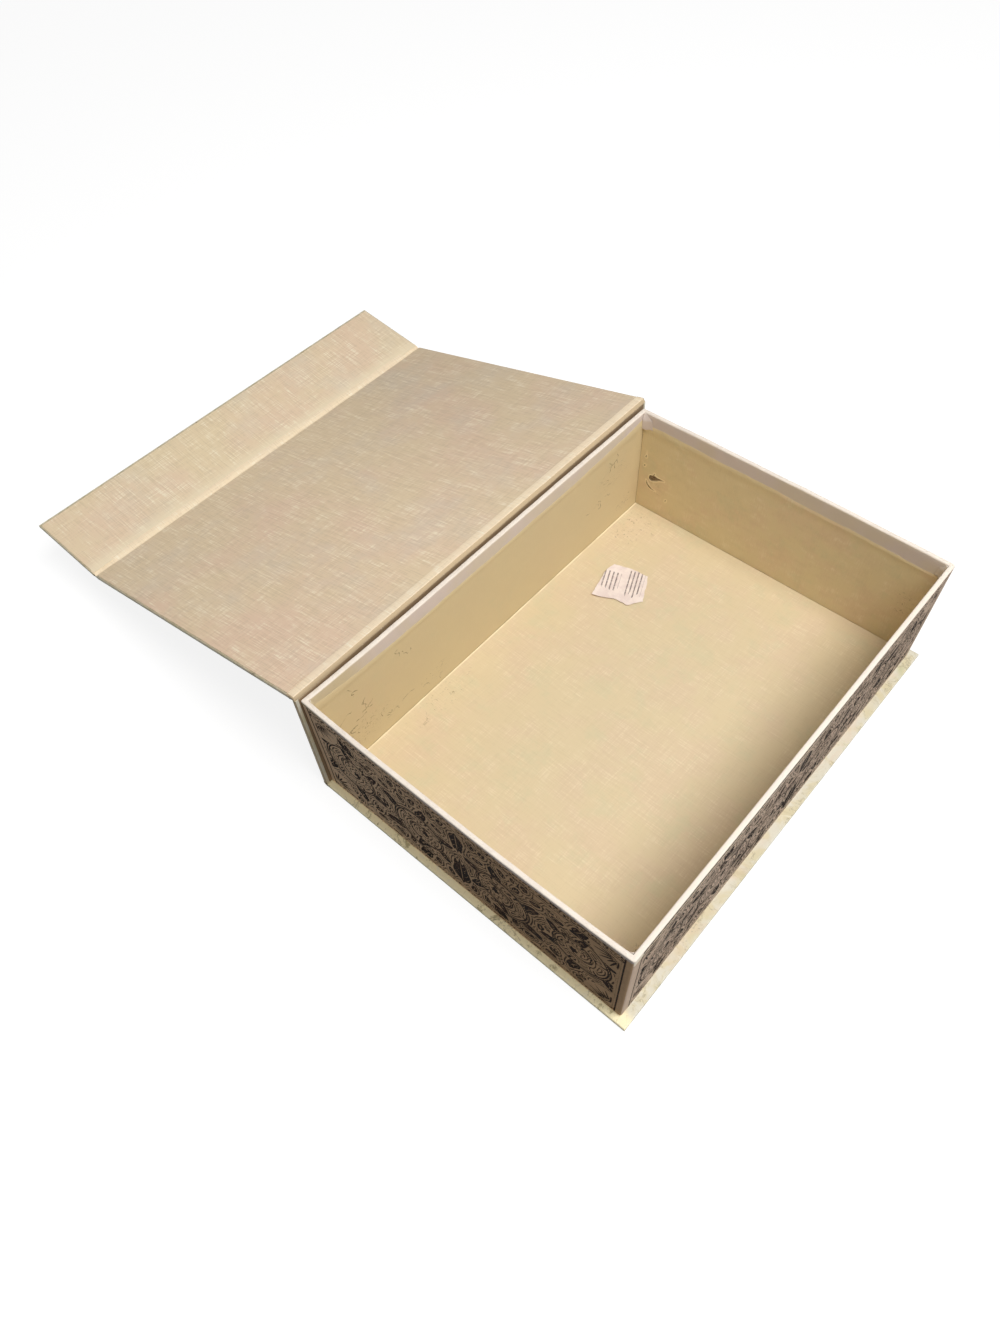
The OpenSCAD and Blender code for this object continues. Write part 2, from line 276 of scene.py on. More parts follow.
def tray_material(name, base, pink, green, light, spots, specks, halo=0.0):
    """Smooth cream lining paper with a faint linen grain, blotches and old dirt."""
    g = Graph(name)
    weave = threads(g, g.place, 12.0)
    broad = g.noise(30, 5, 0.6)
    other = g.noise(48, 5, 0.65, g.moved(shift=(0.9, 0.2, 0.4)))
    colour = g.mix(g.ramp(broad, 0.42, 0.64), base, pink)
    colour = g.mix(g.ramp(other, 0.50, 0.70, 0.0, 0.7), colour, green)
    worn = g.noise(60, 4, 0.6)
    slub = g.times(g.ramp(weave, 0.50, 0.66), g.ramp(worn, 0.36, 0.62))
    colour = g.mix(g.times(slub, 0.30), colour, srgb(246, 233, 204))
    colour = g.mix(g.ramp(weave, 0.48, 0.36, 0.0, 0.10), colour, srgb(180, 158, 118))
    # Painted highlight: a light line on the floor lining along the foot of the back wall, broken up by
    # noise.
    painted_foot_highlight = g.times(g.place_ramp(g.parts()[0], -106.2, -107.5), g.ramp(worn, 0.34, 0.56, 0.3, 0.85))
    colour = g.mix(painted_foot_highlight, colour, light)
    colour = stains(g, colour, spots, srgb(112, 88, 58), 0.85)
    colour = stains(g, colour, specks, srgb(120, 92, 60), 0.9, 5.0, 300)
    marks = g.number("marks")
    # Colour of the marks: torn paper and scratches, and on the far wall also the crescent, which is a
    # painted shadow.
    torn = g.mix(g.ramp(g.noise(700, 3, 0.7), 0.35, 0.65), srgb(96, 78, 54), srgb(140, 118, 88))
    if halo:
        ring = g.times(g.ramp(marks, -1.35, -0.75), g.ramp(marks, -0.25, -0.45, 0.0, halo))
        colour = g.mix(ring, colour, srgb(244, 226, 188))
    colour = g.mix(g.ramp(marks, -0.25, 0.25), colour, torn)
    normal = g.bump(weave, 0.30, 0.12)
    normal = g.bump(g.noise(55, 3, 0.5), 0.3, 0.5, normal)
    return g.finish(colour, g.ramp(broad, 0.3, 0.7, 0.52, 0.66), normal, sheen=0.03)


def cover_material(name, base, border=None, near=(1, 1, 1), painted_lighting_band=(-200.0, -199.0)):
    """Marbled cream covering paper: pink and green clouds, fine dark veins, worn edges."""
    g = Graph(name)
    warp = g.noise(40, 4, 0.6)
    cloud = g.noise(48, 5, 0.6, warp=1.4)
    other = g.noise(31, 4, 0.6, g.moved(shift=(0.5, 0.1, 0.9)), 1.0)
    colour = g.mix(g.ramp(cloud, 0.42, 0.62), base, toned(base, 0.95, 0.90, 0.74))
    colour = g.mix(g.ramp(other, 0.50, 0.66, 0.0, 0.40), colour, toned(base, 1.02, 0.85, 0.76))
    colour = g.mix(g.ramp(warp, 0.55, 0.70, 0.0, 0.7), colour, toned(base, 0.80, 0.85, 0.66))
    blot = g.noise(62, 6, 0.8, g.moved((1, 1, 1.3), shift=(0.2, 0.7, 0.4)), 1.3)
    # Past a band along Y, towards -Y, the tone is multiplied by near: painted light on the base's near lip,
    # which lies in the near wall's shade, and painted shade on the spine's end face.
    shade = g.place_ramp(g.parts()[1], *painted_lighting_band, 0.9, 0.3)
    painted_lighting_share = g.place_ramp(g.parts()[1], *painted_lighting_band)
    colour = g.mix(painted_lighting_share, toned(base, *near, top=0.97), colour)
    colour = g.mix(g.times(g.ramp(blot, 0.53, 0.62), shade), colour, toned(base, 0.62, 0.56, 0.36))
    colour = g.mix(g.ramp(blot, 0.44, 0.34, 0.0, 0.6), colour, toned(base, 1.15, top=1))
    vein = g.add("ShaderNodeTexVoronoi", feature="DISTANCE_TO_EDGE")
    bent = g.add("ShaderNodeVectorMath", operation="ADD")
    g.feed(bent.inputs[0], g.place)
    g.feed(bent.inputs[1], g.scaled(g.noise(110, 4.0, 0.65, output="Color"), 0.022))
    g.feed(vein.inputs["Vector"], bent.outputs[0])
    g.feed(vein.inputs["Scale"], 62)
    lines = g.times(g.ramp(vein.outputs["Distance"], 0.045, 0.0), g.ramp(cloud, 0.46, 0.60))
    colour = g.mix(g.times(lines, 0.55), colour, toned(base, 0.42, 0.38, 0.30))
    nick = g.ramp(g.noise(240, 5, 0.8, warp=1.0), 0.66, 0.72)
    colour = g.mix(g.times(nick, 0.7), colour, toned(base, 0.4))
    if border:
        slope, x0, z0 = border
        x, y, z = g.parts(g.moved(turn=(0, math.radians(slope), 0)))
        tilt = math.radians(slope)
        level = -x0 * math.sin(tilt) + z0 * math.cos(tilt)
        inside = g.place_ramp(z, level + 1.0, level + 1.5, 0.0, 0.72)
        grime_and_painted_shade = g.mix(g.ramp(g.noise(150, 4, 0.7), 0.4, 0.62), srgb(176, 164, 132), srgb(206, 190, 158))
        colour = g.mix(inside, colour, grime_and_painted_shade)
        chip = g.ramp(g.noise(95, 4, 0.8, warp=0.6), 0.64, 0.68)
        colour = g.mix(g.times(chip, inside), colour, srgb(84, 74, 52))
    normal = g.bump(g.noise(700, 3, 0.6), 0.25, 0.08)
    normal = g.bump(cloud, 0.2, 0.4, normal)
    return g.finish(colour, g.ramp(other, 0.3, 0.7, 0.48, 0.62), normal, sheen=0.02)


def print_material(name, ground_a, ground_b, bare_a, bare_b, rim_highlight):
    """Side paper: dark scrolls on a mauve ground outside, bare pinkish paper elsewhere."""
    g = Graph(name)
    ink = g.number("ink")
    printed = g.number("printed")
    ragged = g.times(g.math("SUBTRACT", g.noise(1500, 3, 0.7), 0.5), 0.9)
    ink = g.math("ADD", ink, ragged)
    tone = g.noise(38, 4, 0.6)
    fibre = g.noise(1.0, 3, 0.6, g.moved((420, 420, 900)))
    ground = g.mix(g.ramp(tone, 0.4, 0.65), ground_a, ground_b)
    x, y, z = g.parts()
    # Painted light: the outside ground lightens towards -X, over most of the near wall.
    ground = g.mix(g.place_ramp(x, 60.0, -100.0), ground, srgb(238, 208, 176))
    ground = g.mix(g.ramp(fibre, 0.35, 0.65, 0.0, 0.18), ground, toned(ground_a, 0.62))
    dark = g.mix(g.ramp(g.noise(70, 3, 0.5), 0.4, 0.65), srgb(15, 7, 4), srgb(36, 20, 12))
    colour = g.mix(g.ramp(ink, -0.16, 0.16), ground, dark)
    paper = g.mix(g.ramp(g.noise(30, 3, 0.5), 0.4, 0.6), bare_a, bare_b)
    paper = g.mix(g.ramp(g.noise(260, 4, 0.7), 0.56, 0.75, 0.0, 0.35), paper, srgb(214, 196, 172))
    stain = g.times(g.place_ramp(y, -95.0, -135.0), g.place_ramp(x, -92.0, -104.0, 0.0, 0.7))
    paper = g.mix(stain, paper, srgb(204, 188, 148))
    # Painted highlight: the top of the rim is lighter than the bare paper below it, broken up a little by
    # noise.
    high = g.place_ramp(z, RIM_Z - 1.3, RIM_Z - 0.5)
    worn = g.ramp(g.noise(130, 4, 0.7), 0.36, 0.56, 0.72, 1.0)
    paper = g.mix(g.times(high, worn), paper, rim_highlight)
    edge = g.math("ADD", printed, g.times(ragged, 0.35))
    colour = g.mix(g.ramp(edge, 0.42, 0.58), paper, colour)
    normal = g.bump(g.noise(650, 3, 0.6), 0.25, 0.07)
    normal = g.bump(g.noise(60, 3, 0.5), 0.25, 0.5, normal)
    return g.finish(colour, g.ramp(ink, -0.2, 0.3, 0.85, 0.75), normal, specular=0.03)


def board_material(name):
    """Raw grey cardboard: speckled pulp with layers along its cut edges."""
    g = Graph(name)
    pulp = g.noise(1100, 4, 0.7)
    layer = g.noise(1.0, 3, 0.6, g.moved((300, 300, 4200)))
    colour = g.mix(g.ramp(pulp, 0.35, 0.7), srgb(168, 156, 138), srgb(138, 124, 106))
    colour = g.mix(g.ramp(layer, 0.4, 0.7, 0.0, 0.5), colour, srgb(120, 104, 86))
    return g.finish(colour, g.ramp(pulp, 0.3, 0.7, 0.8, 0.95), g.bump(pulp, 0.6, 0.15))


def label_material(name):
    """Torn label: thin pinkish white paper with plain grey ruled lines."""
    g = Graph(name)
    at = g.moved(turn=(0, 0, math.radians(-24)), shift=(0.0268, -0.0995, 0))
    x, y, z = g.parts(at)
    soft = g.noise(160, 4, 0.6)
    paper = g.mix(g.ramp(soft, 0.4, 0.65), srgb(240, 226, 218), srgb(228, 212, 206))
    ragged = g.times(g.noise(1.0, 2, 0.6, g.moved((420, 60, 1), at=at)), 0.016)
    rules = None
    for left, right, low, high, pitch in ((-15.4, -3.2, -2.5, 12.5, 2.9), (1.9, 13.2, -4.0, 17.0, 2.7)):
        row = g.math("FRACT", g.math("DIVIDE", g.math("SUBTRACT", x, left * MM), pitch * MM))
        rule = g.times(g.ramp(row, 0.04, 0.16), g.ramp(row, 0.50, 0.36))
        block = g.times(g.place_ramp(x, left, left + 0.2), g.place_ramp(x, right, right - 0.2))
        reach = g.math("ADD", y, ragged)
        along = g.times(g.place_ramp(reach, low + 7, low + 7.4), g.place_ramp(y, high, high - 0.4))
        rule = g.times(g.times(rule, block), along)
        rules = rule if rules is None else g.math("MAXIMUM", rules, rule)
    rules = g.times(rules, g.ramp(g.noise(900, 3, 0.7), 0.36, 0.54, 0.35, 0.9))
    colour = g.mix(rules, paper, srgb(104, 90, 88))
    normal = g.bump(g.noise(800, 3, 0.6), 0.2, 0.05)
    return g.finish(colour, g.ramp(soft, 0.3, 0.7, 0.5, 0.65), normal)


def magnet_material(name):
    """Plated steel disc with turning marks."""
    g = Graph(name)
    marks = g.noise(1.0, 3, 0.7, g.moved((300, 3000, 3000)))
    colour = g.mix(g.ramp(marks, 0.3, 0.7), srgb(176, 178, 182), srgb(150, 152, 156))
    g.shader.inputs["Metallic"].default_value = 1.0
    return g.finish(colour, g.ramp(marks, 0.3, 0.7, 0.28, 0.42), g.bump(marks, 0.2, 0.05))


LINEN = dict(
    base=srgb(228, 206, 172), pink=srgb(229, 200, 173), grey=srgb(219, 203, 182), light=srgb(246, 231, 204)
)
# A lighter copy of the lid's linen tones for the flap: painted light.
FLAP_LINEN_PAINTED_LIGHT = dict(
    base=srgb(232, 212, 176), pink=srgb(232, 206, 177), grey=srgb(224, 210, 187), light=srgb(248, 235, 208)
)
COVER = srgb(218, 213, 196)
# The lid's lining, with painted shade towards its far end.
lid_linen = linen_material("lid_linen", LID_SLOPE, **LINEN, painted_far_shade=True)
FLAP_AT = (-334.082, 33.777)
FLAP_TILT = math.radians(LID_SLOPE - FLAP_FOLD)
FLAP_START = FLAP_AT[0] * math.cos(FLAP_TILT) + FLAP_AT[1] * math.sin(FLAP_TILT)
# The flap's lining, with painted light near the crease.
flap_linen = linen_material("flap_linen", LID_SLOPE - FLAP_FOLD, **FLAP_LINEN_PAINTED_LIGHT, painted_glow=FLAP_START)
# Spine lining, with painted shade on all of it below about 89 mm, in the gap behind the tray.
spine_linen = linen_material(
    "spine_linen", 90.0, srgb(202, 184, 152), srgb(200, 180, 150), srgb(194, 180, 156), LINEN["light"],
    painted_shade_below=91.6,
)
# Joint paper: painted shade on the hinge roll's face and gap, and the cover's paper on its outer corners.
joint_paper = linen_material(
    "joint_paper", LID_SLOPE, srgb(246, 226, 193), srgb(247, 224, 193), srgb(240, 222, 194),
    srgb(252, 241, 216), painted_shade_and_cover=True,
)
BACK_DIRT = [
    ((-108, -120, 26), (8, 34, 16)), ((-108, -60, 20), (8, 22, 9)), ((-108, 120, 55), (8, 24, 12)),
    ((-108, 138, 20), (8, 16, 8)), ((-95, 152, 30), (10, 8, 12)), ((-96, 140, 6), (16, 14, 5)),
]
FLOOR_DIRT = [((-92, 130, 6), (18, 30, 4)), ((-98, -70, 6), (12, 40, 4)), ((98, -126, 6), (12, 14, 4))]
# Copies of the floor lining's tones: a darker one for the back, near and front walls, painted shade, and a
# lighter one for the far wall, painted light.
WALL_TONES_PAINTED_SHADE = dict(base=srgb(212, 194, 154), pink=srgb(212, 190, 154), green=srgb(204, 192, 154))
FAR_TONES_PAINTED_LIGHT = dict(base=srgb(220, 202, 160), pink=srgb(220, 197, 160), green=srgb(210, 198, 157))
FLOOR_TONES = dict(base=srgb(218, 200, 164), pink=srgb(218, 197, 165), green=srgb(211, 199, 163))
far_lining = tray_material(
    "far_lining_paper", **FAR_TONES_PAINTED_LIGHT, light=FAR_TONES_PAINTED_LIGHT["base"], spots=BACK_DIRT,
    specks=[((96, 153, 44), (12, 4, 16))], halo=0.7,
)
wall_lining = tray_material(
    "wall_lining_paper", **WALL_TONES_PAINTED_SHADE, light=WALL_TONES_PAINTED_SHADE["base"], spots=BACK_DIRT, specks=[]
)
floor_lining = tray_material(
    "floor_lining_paper", **FLOOR_TONES, light=srgb(250, 236, 202), spots=FLOOR_DIRT,
    specks=[((98, -126, 6), (5, 5, 4)), ((96, 128, 6), (4, 4, 4))],
)
# The base's cover gets painted light on its near lip, and the spine's cover gets painted shade on its end
# face.
case_cover = cover_material("case_cover_paper", COVER, None, (1.38, 1.30, 1.02), (-156.0, -150.0))
spine_cover_look = cover_material("spine_cover_paper", COVER, None, (0.52, 0.41, 0.27), (-160.1, -159.6))
lid_cover = cover_material("lid_cover_paper", COVER, (LID_SLOPE, HINGE_X, HINGE_Z))
flap_cover = cover_material("flap_cover_paper", COVER, (LID_SLOPE - FLAP_FOLD, *FLAP_AT))
BARE = (srgb(213, 200, 192), srgb(212, 199, 182))
# Colour of the painted highlight on the rim's top.
RIM_HIGHLIGHT = srgb(239, 228, 215)
side_print = print_material("side_print_paper", srgb(210, 176, 140), srgb(190, 160, 128), *BARE, RIM_HIGHLIGHT)
# A lighter copy of the side print for the front wall, ground and bare paper alike: painted light.
front_print_painted_light = print_material(
    "front_print_paper", srgb(218, 195, 174), srgb(202, 179, 158), srgb(252, 242, 224),
    srgb(250, 236, 208), RIM_HIGHLIGHT,
)
raw_board = board_material("raw_board")
label_paper = label_material("label_paper")
plated = magnet_material("plated_steel")


# Meshes


def add_piece(name, points, faces, material, body, stands_for=(), smooth=40.0):
    """A mesh piece from points in millimetres, that rides on a body and stands for CAD nodes."""
    mesh = bpy.data.meshes.new(name)
    mesh.from_pydata([tuple(p) for p in np.asarray(points, float) * MM], [], faces)
    shape = bmesh.new()
    shape.from_mesh(mesh)
    bmesh.ops.recalc_face_normals(shape, faces=shape.faces)
    shape.to_mesh(mesh)
    shape.free()
    mesh.polygons.foreach_set("use_smooth", [True] * len(mesh.polygons))
    mesh.set_sharp_from_angle(angle=math.radians(smooth))
    mesh.materials.append(material)
    piece = bpy.data.objects.new(name, mesh)
    bpy.context.scene.collection.objects.link(piece)
    if stands_for:
        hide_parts(*stands_for)
    if body:
        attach(piece, body)
    return piece


def tube_faces(stations, around):
    """Faces of a closed section swept through stations, with both ends filled."""
    i, j = np.meshgrid(np.arange(stations - 1), np.arange(around), indexing="ij")
    k = (j + 1) % around
    quads = np.stack([i * around + j, i * around + k, (i + 1) * around + k, (i + 1) * around + j], -1)
    faces = quads.reshape(-1, 4).tolist()
    faces.append(list(range(around)))
    faces.append(list(range((stations - 1) * around, stations * around)))
    return faces


def sheet_faces(rows, columns):
    """Faces of a thin sheet: a grid of points on one side, the same on the other, and its edge."""
    count = rows * columns
    i, j = np.meshgrid(np.arange(rows - 1), np.arange(columns - 1), indexing="ij")
    first = i * columns + j
    cells = np.stack([first, first + columns, first + columns + 1, first + 1], -1).reshape(-1, 4)
    faces = cells.tolist() + (cells + count)[:, ::-1].tolist()
    ring = [row * columns for row in range(rows)]
    ring += [(rows - 1) * columns + column for column in range(1, columns)]
    ring += [row * columns + columns - 1 for row in range(rows - 2, -1, -1)]
    ring += list(range(columns - 2, 0, -1))
    return faces + [[a, b, b + count, a + count] for a, b in zip(ring, ring[1:] + ring[:1])]


def arc(centre, radius, start, end, steps=5):
    """Points on an arc in the plane of a section, angles in degrees."""
    angles = np.radians(np.linspace(start, end, steps + 1))
    return [(centre[0] + radius * math.cos(a), centre[1] + radius * math.sin(a)) for a in angles]


def wave(at, seed, size, lengths=(90.0, 37.0, 17.0)):
    """Smooth random wander along a length, of about the given size, the same on each run."""
    draw = np.random.RandomState(seed)
    total = np.zeros_like(np.asarray(at, float))
    for k, length in enumerate(lengths):
        curve = np.sin(np.asarray(at) / length * 2 * math.pi + draw.uniform(0, 6.3))
        total += curve * draw.uniform(0.5, 1) / (k + 1)
    return total * size / 1.4


# Walls of the tray. A point is given by its depth from the wall's outer face, its share of the
# way along (from -1 to 1) and its height. The walls bow out towards the rim.

HALF = {"front": TRAY_L / 2, "back": TRAY_L / 2, "near": TRAY_W / 2, "far": TRAY_W / 2}
BOW = {"front": 0.25, "back": 0.3, "near": 1.9, "far": 1.0}
LEAN_OUT = 1.4
CORNER = {("near", 1): 1.3, ("front", -1): 1.3, ("near", -1): 0.8, ("back", -1): 0.8}
CORNER_ELSE = 1.6


def wall_point(side, depth, share, height, shrink=0.0):
    """Model coordinates of points on a wall. Its ends are cut at 45 degrees and rounded outside."""
    depth, share, height = np.broadcast_arrays(*(np.asarray(v, float) for v in (depth, share, height)))
    first, last = CORNER.get((side, -1), CORNER_ELSE), CORNER.get((side, 1), CORNER_ELSE)
    full = np.where(share < 0, first, last)
    radius = full * np.clip(1 - depth / WALL_T, 0, 1)
    straight = 1 - full / HALF[side]
    reach = np.abs(share)
    length = HALF[side] - depth - shrink
    q = np.clip((reach - straight) / (1 - straight), 0, 1) * math.pi / 4
    bend = length - radius + radius * np.sin(q)
    flat = reach / straight * (length - radius)
    blunt = np.where(radius > 0.01, np.where(reach > straight, bend, flat), reach * length)
    along = np.sign(share) * blunt
    rise = np.clip((height - TRAY_Z) / (RIM_Z - TRAY_Z), 0, 1) ** 1.3
    out = BOW[side] * (1 - share**2) ** 0.8 * rise
    d = depth - out + radius * (1 - np.cos(q))
    x = {"back": -TRAY_W / 2 + d, "front": TRAY_W / 2 - d}.get(side, along)
    y = {"near": -TRAY_L / 2 + d, "far": TRAY_L / 2 - d}.get(side, along)
    at_back, at_near = np.clip(-x / (TRAY_W / 2), 0, 1.2) ** 2, np.clip(-y / (TRAY_L / 2), 0, 1.2) ** 2
    pulled = np.clip((-y - 100) / 56, 0, 1) ** 1.5
    opened = np.clip((-x - 20) / 91, 0, 1)
    x = x - (LEAN_OUT + 1.5 * pulled) * rise * at_back
    y = y - (0.55 + 0.5 * opened) * rise * at_near
    return np.stack([x, y, height], -1)


def settled(points):
    """Moves points of the straight tray walls to where the bent and rounded walls have them."""
    away = {
        "back": points[:, 0] + TRAY_W / 2, "front": TRAY_W / 2 - points[:, 0],
        "near": points[:, 1] + TRAY_L / 2, "far": TRAY_L / 2 - points[:, 1],
    }
    nearest = np.argmin(np.stack(list(away.values())), 0)
    moved = points.copy()
    for number, side in enumerate(away):
        here = nearest == number
        if here.any():
            depth = away[side][here]
            along = points[here, 1 if side in ("front", "back") else 0]
            share = np.clip(along / (HALF[side] - depth), -1, 1)
            moved[here] = wall_point(side, depth, share, points[here, 2])
    return moved


def cad_shape(node):
    """A CAD node's shape, with its doubled points joined."""
    shape = bmesh.new()
    shape.from_mesh(nodes[node].data)
    bmesh.ops.remove_doubles(shape, verts=shape.verts, dist=1e-7)
    return shape


def cut_through(shape, place, normal):
    """Adds points and edges where a plane goes through a shape, and takes nothing away."""
    everything = shape.verts[:] + shape.edges[:] + shape.faces[:]
    bmesh.ops.bisect_plane(shape, geom=everything, plane_co=place, plane_no=normal)


def points_and_faces(shape):
    """The points of a shape in millimetres and its faces. The shape itself is given up."""
    shape.verts.index_update()
    points = np.array([v.co for v in shape.verts]) / MM
    faces = [[v.index for v in f.verts] for f in shape.faces]
    shape.free()
    return points, faces


def bowed_copy(node, side, name, cuts, material):
    """A copy of a CAD node that follows its wall's bow, cut across first so that it can bend."""
    shape = cad_shape(node)
    long = side in ("front", "back")
    for along in np.linspace(-1, 1, cuts + 2)[1:-1] * (HALF[side] - 6) * MM:
        place, normal = ((0, along, 0), (0, 1, 0)) if long else ((along, 0, 0), (1, 0, 0))
        cut_through(shape, place, normal)
    for height in np.linspace(TRAY_Z, RIM_Z, 7)[1:-1] * MM:
        cut_through(shape, (0, 0, height), (0, 0, 1))
    points, faces = points_and_faces(shape)
    return add_piece(name, settled(points), faces, material, "root", [node], smooth=30)


# Printed ornament: scrolls, leaves, fans and borders drawn as tapered strokes

REACH = 6.0


class Ink:
    """Depth of each point of a wall inside the drawing's strokes, in mm, below 0 outside them."""

    def __init__(self, across, up, mirror=True):
        self.across, self.up = across, up
        self.flips = (1, -1) if mirror else (1,)
        self.depth = np.full((len(across), len(up)), -REACH)

    def line(self, points, radii):
        points, radii = np.asarray(points, float), np.broadcast_to(radii, len(points))
        for flip in self.flips:
            for k in range(len(points) - 1):
                p, q = points[k] * (flip, 1), points[k + 1] * (flip, 1)
                a, b = radii[k], radii[k + 1]
                margin = REACH + max(a, b)
                i0, i1 = np.searchsorted(self.across, [min(p[0], q[0]) - margin, max(p[0], q[0]) + margin])
                j0, j1 = np.searchsorted(self.up, [min(p[1], q[1]) - margin, max(p[1], q[1]) + margin])
                if i0 >= i1 or j0 >= j1:
                    continue
                dx = self.across[i0:i1, None] - p[0]
                dz = self.up[None, j0:j1] - p[1]
                step = q - p
                t = np.clip((dx * step[0] + dz * step[1]) / max(step @ step, 1e-9), 0, 1)
                depth = a + (b - a) * t - np.hypot(dx - t * step[0], dz - t * step[1])
                np.maximum(self.depth[i0:i1, j0:j1], depth, out=self.depth[i0:i1, j0:j1])


def sweep(start, heading, length, turn, tighten=1.0, steps=10):
    """A curve whose heading turns by turn over its length, and the headings along it."""
    t = np.linspace(0, 1, steps + 1)
    angle = heading + turn * t**tighten
    middle = (angle[1:] + angle[:-1]) / 2
    step = length / steps
    points = np.array(start, float) + np.vstack(
        [(0, 0), np.cumsum(np.stack([np.cos(middle), np.sin(middle)], 1) * step, axis=0)]
    )
    return points, angle


def taper(count, thick, thin=0.14):
    """Radii of a stroke that swells and thins out again."""
    t = np.linspace(0, 1, count)
    return thin + (thick - thin) * np.sin(math.pi * t**0.72) ** 0.8


def leaf(mass, veins, start, heading, length, turn, thick, lobes=5):
    """An engraved leaf: a tapering rib with curled lobes on both sides, and light veins cut in."""
    rib, angle = sweep(start, heading, length, turn, 1.2, 12)
    mass.line(rib, taper(len(rib), thick))
    veins.line(rib[1:-2], taper(len(rib) - 3, 0.26, 0.05))
    for k in range(lobes):
        at = 1 + int(k * 9 / lobes)
        size = length * (0.50 - 0.26 * k / lobes)
        for side in (1, -1):
            lobe, _ = sweep(rib[at], angle[at] + side * 0.85, size, -side * 1.25, 1.4, 7)
            mass.line(lobe, taper(len(lobe), thick * 0.66, 0.12))
            if k % 2 == 0:
                veins.line(lobe[1:-2], taper(len(lobe) - 3, 0.22, 0.05))


def scroll(mass, veins, centre, first, way, radius, thick, leaves=7):
    """A volute round a centre, with leaves on its outer side, curls inside and a rosette."""
    t = np.linspace(0, 1, 60)
    angle = first + way * 2 * math.pi * 1.75 * t
    away = radius * (1 - t) ** 0.85 + 2.2
    stem = np.array(centre) + np.stack([np.cos(angle), np.sin(angle)], 1) * away[:, None]
    mass.line(stem, np.linspace(thick, thick * 0.55, len(stem)))
    veins.line(stem[1:-4], np.linspace(0.34, 0.14, len(stem) - 5))
    for k in range(leaves):
        at = int(k * 40 / leaves)
        heading = math.atan2(*(stem[at + 1] - stem[at])[::-1])
        size = 19.0 * (1 - 0.5 * k / leaves)
        leaf(mass, veins, stem[at], heading - way * 0.75, size, -way * 0.9, thick * 1.5, 4)
        inner = math.atan2(*(stem[at + 3] - stem[at + 2])[::-1])
        curl, _ = sweep(stem[at + 2], inner + way * 0.7, size * 0.42, way * 2.0, 1.3, 7)
        mass.line(curl, taper(len(curl), 0.8))
    for k in range(7):
        petal, _ = sweep(stem[-1], k * math.pi / 3.5, 3.6, 0.6, 1.0, 4)
        mass.line(petal, taper(len(petal), 0.8))


def fan(mass, corner, first, last, count=7, inner=4.0, outer=16.0):
    """Rays spreading from a corner, between two angles in degrees."""
    for k in range(count):
        angle = math.radians(first + (last - first) * k / (count - 1))
        way = np.array([math.cos(angle), math.sin(angle)])
        long = outer * (1.0 if k % 2 else 0.8)
        mass.line([corner + way * r for r in np.linspace(inner, long, 6)], taper(6, 0.62, 0.18))
    mass.line(arc(corner, inner - 0.9, first, last, 8), 0.4)


def draw_ornament(across, up, half):
    """The whole drawing of one wall: a border, corner fans, a row of scrolls, echo lines round
    them and a narrow band of commas under the rim."""
    mass, veins, trim = Ink(across, up), Ink(across, up), Ink(across, up)
    low, high = 8.5, 78.0
    side = half - (4.4 if half < 120 else 6.6)
    units = max(2, round((side - 4) / 50))
    pitch = (side - 2) / units
    middle = (low + high) / 2
    for k in range(units):
        way = 1 if k % 2 == 0 else -1
        centre = ((k + 0.5) * pitch + 1.5, middle - way * 3.0)
        scroll(mass, veins, centre, -way * math.radians(100), way, 21.0, 1.5)
    leaf(mass, veins, (0, 12), math.radians(90), 33, 0.0, 2.2, 7)
    leaf(mass, veins, (0, high - 1), math.radians(-90), 24, 0.0, 2.0, 6)
    draw = np.random.RandomState(11)
    for size, room in ((17.0, 6.2), (12.0, 4.8), (8.0, 3.9)):
        for x in np.arange(4.0, side - 5, 3.5):
            for z in np.arange(low + 4, high - 4, 3.5):
                turn, bend = draw.uniform(-0.5, 0.5), draw.uniform(-1.4, 1.4)
                i, j = np.searchsorted(across, x), np.searchsorted(up, z)
                if mass.depth[i, j] < -room:
                    flow = math.sin(x / 17.0) * 1.1 + math.cos(z / 13.0) * 1.3 + turn
                    leaf(mass, veins, (x, z), flow, size * 0.7, bend, 0.11 * size + 0.5, 4)
    away = -mass.depth
    x, z = across[:, None], up[None]
    wander = 0.34 * np.sin(x / 5.3 + z / 3.1) + 0.18 * np.sin(x / 2.3 - z / 4.7)
    depth = mass.depth
    for distance, radius in ((1.7, 0.40), (3.6, 0.36)):
        depth = np.maximum(depth, radius + 0.10 * wander - np.abs(away + wander - distance))
    depth = np.minimum(depth, -veins.depth)
    inside = np.minimum(side - 3.2 - np.abs(x), np.minimum(z - low, high - z))
    corner = np.hypot(side - 2.6 - np.abs(x), np.minimum(np.abs(high - z), np.abs(z - low)))
    depth = np.minimum(depth, np.minimum(inside, corner - 18.0))
    trim.line([(side, 4.0), (side, 87.6)], 0.50)
    trim.line([(side - 1.9, low), (side - 1.9, high)], 0.26)
    trim.line([(0, low - 1.4), (side, low - 1.4)], 0.36)
    trim.line([(0, high + 1.4), (side, high + 1.4)], 0.36)
    fan(trim, np.array([side - 2.8, high - 0.4]), 183, 267)
    fan(trim, np.array([side - 2.8, low + 0.4]), 177, 93)
    for x in np.arange(1.0, side - 1, 2.1):
        for z, size in ((81.3, 2.6), (83.6, 2.6), (85.8, 2.3), (5.2, 2.2)):
            spin, bend = draw.uniform(-0.9, 0.9), draw.uniform(-2.4, 2.4)
            dash, _ = sweep((x, z + draw.uniform(-0.6, 0.6)), spin, size, bend, 1.0, 4)
            trim.line(dash, taper(len(dash), draw.uniform(0.35, 0.7), 0.1))
    return np.maximum(depth, trim.depth)


# Tray pieces

